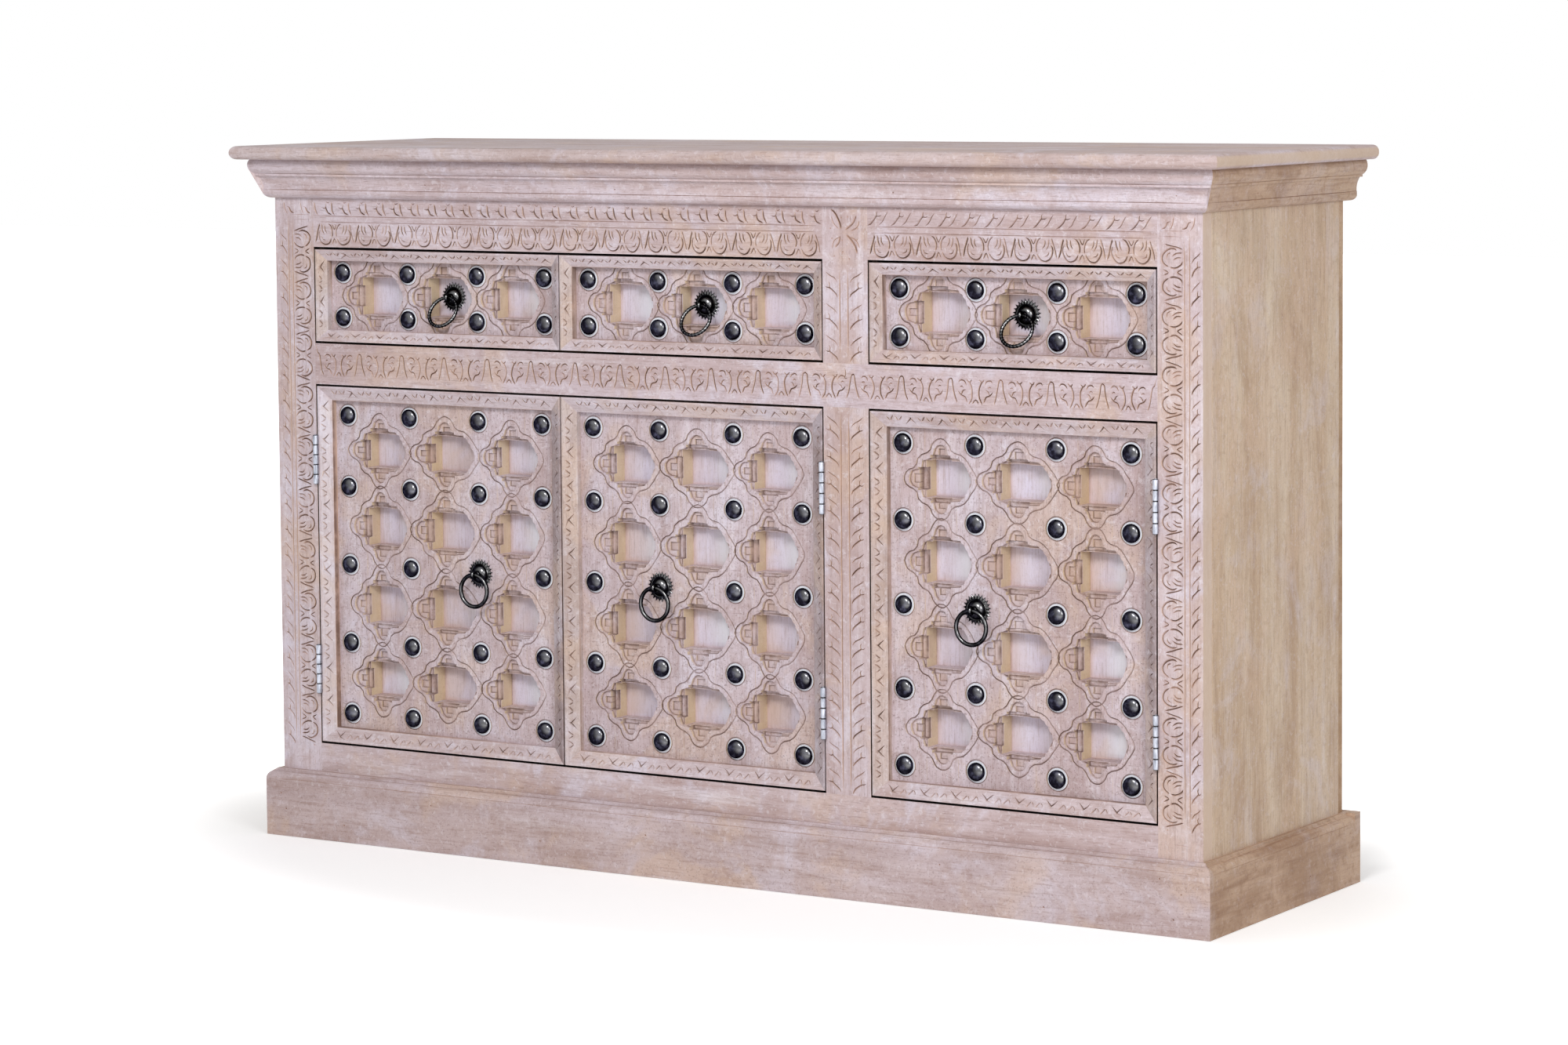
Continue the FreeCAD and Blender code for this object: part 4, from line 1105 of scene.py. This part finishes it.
def twisted_rod(a, k):
    """Twisted round the ring, but smooth near the eye."""
    near_eye = math.exp(-((math.cos(a) - 1) / 0.06) ** 2)
    return 2.25 + 0.25 * math.cos(2 * (TURN * k / TWISTED_SIDES - 15 * a)) * (1 - near_eye)


def ring(name, u, foot, v, tilt, around, sides, rod):
    """A forged ring hanging from its eye: plain on the doors, twisted on the drawers."""
    down = Vector((0, -math.sin(math.radians(tilt)), -math.cos(math.radians(tilt))))
    across = Vector((1, 0, 0))
    middle = Vector((u, foot - EYE_REACH, v)) + down * RING_RADIUS
    build = Build()
    bent_rod(build, middle, -down, across, down.cross(across), RING_RADIUS, around, sides, rod)
    build.finish(name + "_ring", "forged", [pull_iron], name + "_pull", "dark_iron", 60)


def hinge_parts(build, axis_x, side, middle, moving):
    """One leaf of a butt hinge with its knuckles, and painted shade where they meet."""
    knuckles, sides = 5, 20
    pitch = HINGE_HEIGHT / knuckles
    low = middle - HINGE_HEIGHT / 2
    plate = sorted((axis_x + side * 0.1, axis_x + side * 0.1 + side * 0.9))
    box_part(build, plate, (0.2, 20.0), (low, low + HINGE_HEIGHT))
    for number in range(1 if moving else 0, knuckles, 2):
        start, end = low + number * pitch + 0.2, low + (number + 1) * pitch - 0.2
        # Of each step: radius, place from the knuckle's end, and painted shade.
        half = [(1.6, 0.0, 1.0), (3.0, 0.0, 1.0), (3.5, 0.5, 0.55), (3.6, 1.0, 0.0)]
        steps = [(r, start + h) for r, h, _ in half] + [(r, end - h) for r, h, _ in half[::-1]]
        shades = [shade for _, _, shade in half + half[::-1]]
        before = len(build.vertices)
        lathe(build, steps, (axis_x, HINGE_AXIS, 0), sides, axis="Z", closed=True)
        build.groove[before:] = [shade for shade in shades for _ in range(sides)]
        box_part(build, plate, (-3.0, 0.2), (start, end))


def columns_of(start, outer_cell):
    """Places of the four stud columns of a front."""
    middle = start + FRONT_WIDTH / 2
    return [middle + o for o in (-CELL / 2 - outer_cell, -CELL / 2, CELL / 2, CELL / 2 + outer_cell)]


def door(number, start, hinge_side, pull_column, left_pale, left_wood, lifts, stud_shift):
    """A door with twelve cells and nineteen studs, its pull in place of a stud. Returns its hinge axis."""
    name = f"door_{number}"
    x_range, z_range = (start, start + FRONT_WIDTH), (DOOR_BASE + GAP, DOOR_TOP - GAP)
    columns = columns_of(start, DOOR_OUTER_CELL)
    rows = [DOOR_MIDDLE + o for o in (-STUD_ROW, -INNER_ROW, 0, INNER_ROW, STUD_ROW)]
    cells = [((a + b) / 2, (c + d) / 2 + lift, (b - a) / 2, (d - c) / 2)
             for a, b in zip(columns, columns[1:]) for c, d, lift in zip(rows, rows[1:], lifts)]
    pull = columns[pull_column]
    studs = [(x + stud_shift, z) for x in columns for z in rows if (x, z) != (pull, DOOR_MIDDLE)]
    border(name, x_range, z_range, DOOR_BORDER, 26.0, 8.0, 41.0, left_pale, left_wood)
    lattice(name, x_range, z_range, DOOR_BORDER - BORDER_LAP, cells, studs)
    backing(name, name + "_board", cells)
    studs_piece(name, studs)
    rosette(name, pull, LATTICE_FACE, DOOR_MIDDLE)
    ring(name, pull, LATTICE_FACE, DOOR_MIDDLE, 0, 72, 10, plain_rod)
    axis_x = (start if hinge_side < 0 else start + FRONT_WIDTH) + hinge_side * GAP / 2
    build = Build()
    for z in HINGE_PLACES:
        hinge_parts(build, axis_x, -hinge_side, z, True)
    build.finish(name + "_hinge_leaves", "zinc", [zinc], name, "zinc", 30)
    return axis_x


def drawer(number, start):
    """A drawer front with three cells and eight studs. Its pull stands on the front board in the middle cell."""
    name = f"drawer_{number}"
    x_range, z_range = (start, start + FRONT_WIDTH), (DRAWER_BASE + GAP, DRAWER_TOP - GAP)
    columns = columns_of(start, DRAWER_OUTER_CELL)
    cells = [((a + b) / 2, DRAWER_MIDDLE, (b - a) / 2, DRAWER_CELL_RISE) for a, b in zip(columns, columns[1:])]
    studs = [(x, DRAWER_MIDDLE + o) for x in columns for o in (-DRAWER_STUD_ROW, DRAWER_STUD_ROW)]
    pull = start + FRONT_WIDTH / 2
    border(name, x_range, z_range, DRAWER_BORDER, 42.0, 6.5, 38.0, 0.0, cream_wood)
    lattice(name, x_range, z_range, DRAWER_BORDER - BORDER_LAP, cells, studs, pull_cell=cells[1])
    backing(name, name + "_front", cells)
    studs_piece(name, studs)
    rosette(name, pull, LATTICE_BACK, DRAWER_MIDDLE)
    ring(name, pull, LATTICE_BACK, DRAWER_MIDDLE, 30, 144, TWISTED_SIDES, twisted_rod)


# ---- Mouldings

def moulding(name, profile, base, back_end, grooves, pits, front, extra=None):
    """A front run and two returns, mitred at the corners. The profile is reach and height, from its foot to its top.

    grooves are lines at a distance up the profile, with a depth and a reach; pits are for the front and the right."""
    build = Build()
    reaches, heights = (np.array(column, float) for column in zip(*profile))
    run = np.r_[0, np.cumsum(np.hypot(np.diff(reaches), np.diff(heights)))]
    # Of each run: its wood, where a point of it lies, and where it starts and stops at a reach
    runs = (
        (0, lambda r, u, h: (u, -r, base + h), lambda r: -HALF_WIDTH - r, lambda r: HALF_WIDTH + r, pits[0]),
        (1, lambda r, u, h: (HALF_WIDTH + r, u, base + h), lambda r: -r, lambda r: back_end + 0 * r, pits[1]),
        (1, lambda r, u, h: (-HALF_WIDTH - r, u, base + h), lambda r: -r, lambda r: back_end + 0 * r, ()),
    )
    for material, place, low, high, marks in runs:
        starts, stops = low(reaches), high(reaches)
        relief = Relief([*zip(starts, run), *zip(stops[::-1], run[::-1])])
        for a, b, s in list(zip(starts, stops, run))[1:-1]:
            relief.line([(a, s), (b, s)])
        for s, depth, reach in grooves:
            r = np.interp(s, run, reaches)
            groove_line(relief, [(low(r) + 0.3, s), (high(r) - 0.3, s)], depth, reach, reach)
        for u, s in marks:
            pit(relief, u, s, 1.3, 1.5)
        places, triangles, depth = relief.mesh()
        vertices = [place(np.interp(s, run, reaches) - d, u, np.interp(s, run, heights))
                    for (u, s), d in zip(places, depth)]
        build.add(vertices, triangles, material, np.clip(depth / 0.9, 0, 1))
        inner = [place(0.0, end(0.0), h) for h in (heights[0], heights[-1]) for end in (low, high)]
        outer = [place(reaches[k], ends[k], heights[k]) for k in (0, -1) for ends in (starts, stops)]
        build.add(inner + outer, [(0, 1, 3, 2), (0, 4, 5, 1), (2, 3, 7, 6)], material)
        for ends, end in ((starts, low), (stops, high)):
            cap = [place(r, u, h) for r, u, h in zip(reaches, ends, heights)]
            cap += [place(0.0, end(0.0), h) for h in (heights[-1], heights[0])]
            build.add(cap, [tuple(range(len(cap)))], material)
    if extra:
        extra(build)
    build.finish(name, "moulded", [front, return_wood], smooth=24)


def cornice():
    """A bead, a cove, a fillet and a roll under the top."""
    profile = arc((3, 0), (9, 2.75), (11, 5.5), 6) + [(11, 11)] + arc((10.6, 11.4), (11.2, 19.75), (15, 28.5), 8)
    profile += [(18.4, 28.7), (18.5, 31.3)] + arc((18.7, 31.6), (25, 40.75), (23, 49.9), 10)
    grooves = ((0.5, 0.7, 0.7), (15.6, 0.8, 0.7), (34.5, 0.6, 0.6), (40.6, 0.6, 0.6))
    pits = ([(-420, 24.0), (-130, 22.0), (268, 23.0), (642, 24.0)], [(120, 23.0), (300, 24.0)])
    moulding("cornice", profile, CORNICE_BASE, BACK_OUTER, grooves, pits, front_across)


def plinth():
    """A tall flat board with a small nose and a fillet on its top edge, and a plain board across the back."""
    reach = 17
    profile = [(reach, 0), (reach, 74.4)] + arc((16.9, 75.2), (14.6, 80.6), (8.2, 83.4), 7)
    profile += [(6.4, 84.2), (6.0, PLINTH_TOP), (0.4, PLINTH_TOP)]
    grooves = ((74.8, 0.45, 0.5), (86.4, 0.8, 0.7), (96.0, 0.8, 0.9))
    pits = ([(-663, 56), (-655, 36), (-560, 22), (-420, 60), (-250, 30), (-90, 52), (120, 28), (330, 55), (470, 18),
             (622, 66), (650, 50), (640, 20)], [(40, 45), (180, 60), (322, 46), (362, 64), (250, 30)])

    def back_board(build):
        end = HALF_WIDTH + reach
        box_part(build, (-end, end), (CARCASS_DEPTH, BACK_OUTER), (0, PLINTH_TOP), 1)

    moulding("plinth", profile, 0, CARCASS_DEPTH, grooves, pits, plinth_wood, back_board)


def top_board():
    """The top, with a round nose on the front and both ends and a square back."""
    thickness, radius, side_overhang, front_overhang = TOTAL_HEIGHT - TOP_UNDERSIDE, 8.2, 40, 44
    levels = []
    for angle in (math.pi / 2 * i / 8 for i in range(9)):
        levels.append((radius - radius * math.sin(angle), radius - radius * math.cos(angle)))
    levels += [(inset, thickness - height) for inset, height in reversed(levels)]
    vertices = []
    for inset, height in levels:
        x = HALF_WIDTH + side_overhang - inset
        y, z = inset - front_overhang, TOP_UNDERSIDE + height
        vertices += [(-x, y, z), (x, y, z), (x, BACK_OUTER, z), (-x, BACK_OUTER, z)]
    last = len(vertices)
    build = Build()
    build.add(vertices, [(0, 1, 2, 3), tuple(range(last - 4, last)), *walls(4, len(levels))])
    build.finish("top_board", "nosed", [top_wood], smooth=30)


def side_board(name, side):
    """A plain end board with a few nail holes and fine joint lines."""
    low, high = node_box(name)
    (y0, z0), (y1, z1) = low[1:], high[1:]
    outer, thickness = max(abs(low[0]), abs(high[0])), high[0] - low[0]
    relief = Relief(rectangle(y0, y1, z0, z1))
    groove_line(relief, [(y0 + 0.8, z0 + 1), (y0 + 0.8, z1 - 1)], 0.5, 0.7, 0.7)
    for seam in (0.36, 0.71):
        y = y0 + seam * (y1 - y0)
        groove_line(relief, [(y, z0 + 1), (y, z1 - 1)], 0.12, 0.5, 0.5)
    nails = ((0.06, 0.1), (0.22, 0.24), (0.4, 0.14), (0.66, 0.2), (0.74, 0.27), (0.93, 0.26), (0.62, 0.66), (0.24, 0.8))
    for u, v in nails:
        pit(relief, y0 + u * (y1 - y0), PLINTH_TOP + v * (CORNICE_BASE - PLINTH_TOP), 1.2, 1.3)
    build = Build()
    carved_board(build, relief, lambda u, v, d: (side * (outer - d), u, v), thickness, dark=0.0)
    build.finish(name, "planed", [side_wood], slot="side_wood")


# ---- The cabinet

stile("stile_left", LEFT_STILE, -1)
stile("stile_right", RIGHT_STILE, 1)
center_stile()
rail_top()
rail_middle()
rail_bottom()
cornice()
plinth()
top_board()
side_board("side_panel_left", -1)
side_board("side_panel_right", 1)
# Of each door: its hinges' side, the column of its pull, the wash and wood of its border's left member (a warmer
# copy, painted warm light, on doors 2 and 3), how far the cells of each row are lifted, and how far the studs stand to
# the left
DOORS = (
    (-1, 2, 0.3, front_up, (0.0, 0.0, 0.0, 1.5), -0.6),
    (1, 1, -0.1, cream_wood, (0.0, 0.0, 0.0, 1.5), -0.6),
    (1, 1, -0.3, cream_wood, (0.0, 0.0, 1.5, 4.5), -2.0),
)
fixed, pins = Build(), Build()
for number, (start, (side, *looks)) in enumerate(zip(STARTS, DOORS), 1):
    axis_x = door(number, start, side, *looks)
    drawer(number, start)
    for z in HINGE_PLACES:
        hinge_parts(fixed, axis_x, side, z, False)
        lathe(pins, [(1.2, -32.4), (1.5, -32.0), (1.5, 32.0), (1.2, 32.4)], (axis_x, HINGE_AXIS, z), 14, axis="Z")
fixed.finish("hinge_frame_leaves", "zinc", [zinc], slot="zinc", smooth=30)
pins.finish("hinge_pins", "zinc", [zinc], slot="zinc", smooth=30)

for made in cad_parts.values():
    made.data.materials.clear()
    made.data.materials.append(inner_wood)


# ---- Floor, light and camera

def seen_directly(s):
    """1 for what the camera sees, also by way of a mirror or glass, and 0 for light that is thrown on."""
    path = s.node("ShaderNodeLightPath").outputs
    seen = s.math("MAXIMUM", path["Is Camera Ray"], path["Is Glossy Ray"])
    return s.math("MAXIMUM", seen, path["Is Transmission Ray"])


def floor_material():
    """A pale floor that turns to plain white away from the object."""
    s = Shader(bpy.data.materials.new("studio_floor"))
    tone = s.ramp(s.noise((0.6, 0.6, 0.6), 2), 0.2, 0.8)
    s.feed(s.surface, {"Base Color": s.mix(tone, srgb(244, 244, 245), srgb(249, 249, 249)), "Roughness": 0.9,
                       "Specular IOR Level": 0.1})
    parts = s.node("ShaderNodeSeparateXYZ", {"Vector": s.mapped((1.0, 1.6, 1.0))}).outputs
    away = s.math("SQRT", s.math("ADD", *(s.math("MULTIPLY", parts[axis], parts[axis]) for axis in "XY")))
    glow = s.math("MULTIPLY", seen_directly(s), s.ramp(away, 0.72, 1.25, 0.22, 1.0))
    white = s.node("ShaderNodeEmission", {"Color": (1, 1, 1), "Strength": glow})
    both = s.node("ShaderNodeAddShader", {0: s.surface.outputs[0], 1: white.outputs[0]})
    s.feed(s.tree.nodes["Material Output"], {"Surface": both.outputs[0]})
    return s.owner


def area_light(name, place, target, size, power):
    data = bpy.data.lights.new(name, "AREA")
    data.shape = "RECTANGLE"
    data.size, data.size_y = size
    data.energy = power
    light = bpy.data.objects.new(name, data)
    light.location = place
    light.rotation_euler = (Vector(target) - Vector(place)).to_track_quat("-Z", "Y").to_euler()
    scene.collection.objects.link(light)


scene = bpy.context.scene
floor_mesh = bpy.data.meshes.new("studio_floor")
floor_mesh.from_pydata([(-14, -14, 0), (14, -14, 0), (14, 14, 0), (-14, 14, 0)], [], [(0, 1, 2, 3)])
floor_mesh.materials.append(floor_material())
floor = bpy.data.objects.new("studio_floor", floor_mesh)
floor.location.z = -0.0004
scene.collection.objects.link(floor)

WORLD_STRENGTH = 0.47
scene.world = bpy.data.worlds.new("studio")
sky = Shader(scene.world)
strength = sky.ramp(seen_directly(sky), 0.0, 1.0, WORLD_STRENGTH, 1.0)
sky.feed(sky.tree.nodes["Background"], {"Color": (1, 1, 1), "Strength": strength})
area_light("key", (1.1, -3.6, 2.9), (0.1, -0.2, 0.45), (1.2, 1.1), 76)
area_light("fill", (3.5, -2.5, 1.8), (0.2, 0, 0.45), (1.6, 1.6), 58)

# The camera, as solved from the photo: metres, radians and pixels of a frame 2000 wide
FOCAL_PIXELS, FRAME_WIDTH, SENSOR = 5591.394, 2000, 36.0
CAMERA_PLACE = (2.91195, -4.46245 - MIDDLE_DEPTH * MM, 1.03711)
yaw, pitch, roll = 0.56112, 0.07527, -0.00808
camera_data = bpy.data.cameras.new("camera")
camera_data.sensor_width = SENSOR
camera_data.lens = FOCAL_PIXELS * SENSOR / FRAME_WIDTH
camera_data.shift_y = -0.1
camera_data.clip_end = 60
level = Vector((-math.sin(yaw), math.cos(yaw), 0))
forward = level * math.cos(pitch) - Vector((0, 0, math.sin(pitch)))
up = level * math.sin(pitch) + Vector((0, 0, math.cos(pitch)))
right = forward.cross(up)
right, up = right * math.cos(roll) + up * math.sin(roll), up * math.cos(roll) - right * math.sin(roll)
camera = bpy.data.objects.new("camera", camera_data)
turn = Matrix((right, up, -forward)).transposed().to_4x4()
camera.matrix_world = Matrix.Translation(CAMERA_PLACE) @ turn
scene.collection.objects.link(camera)
scene.camera = camera
scene.view_settings.view_transform = "Standard"
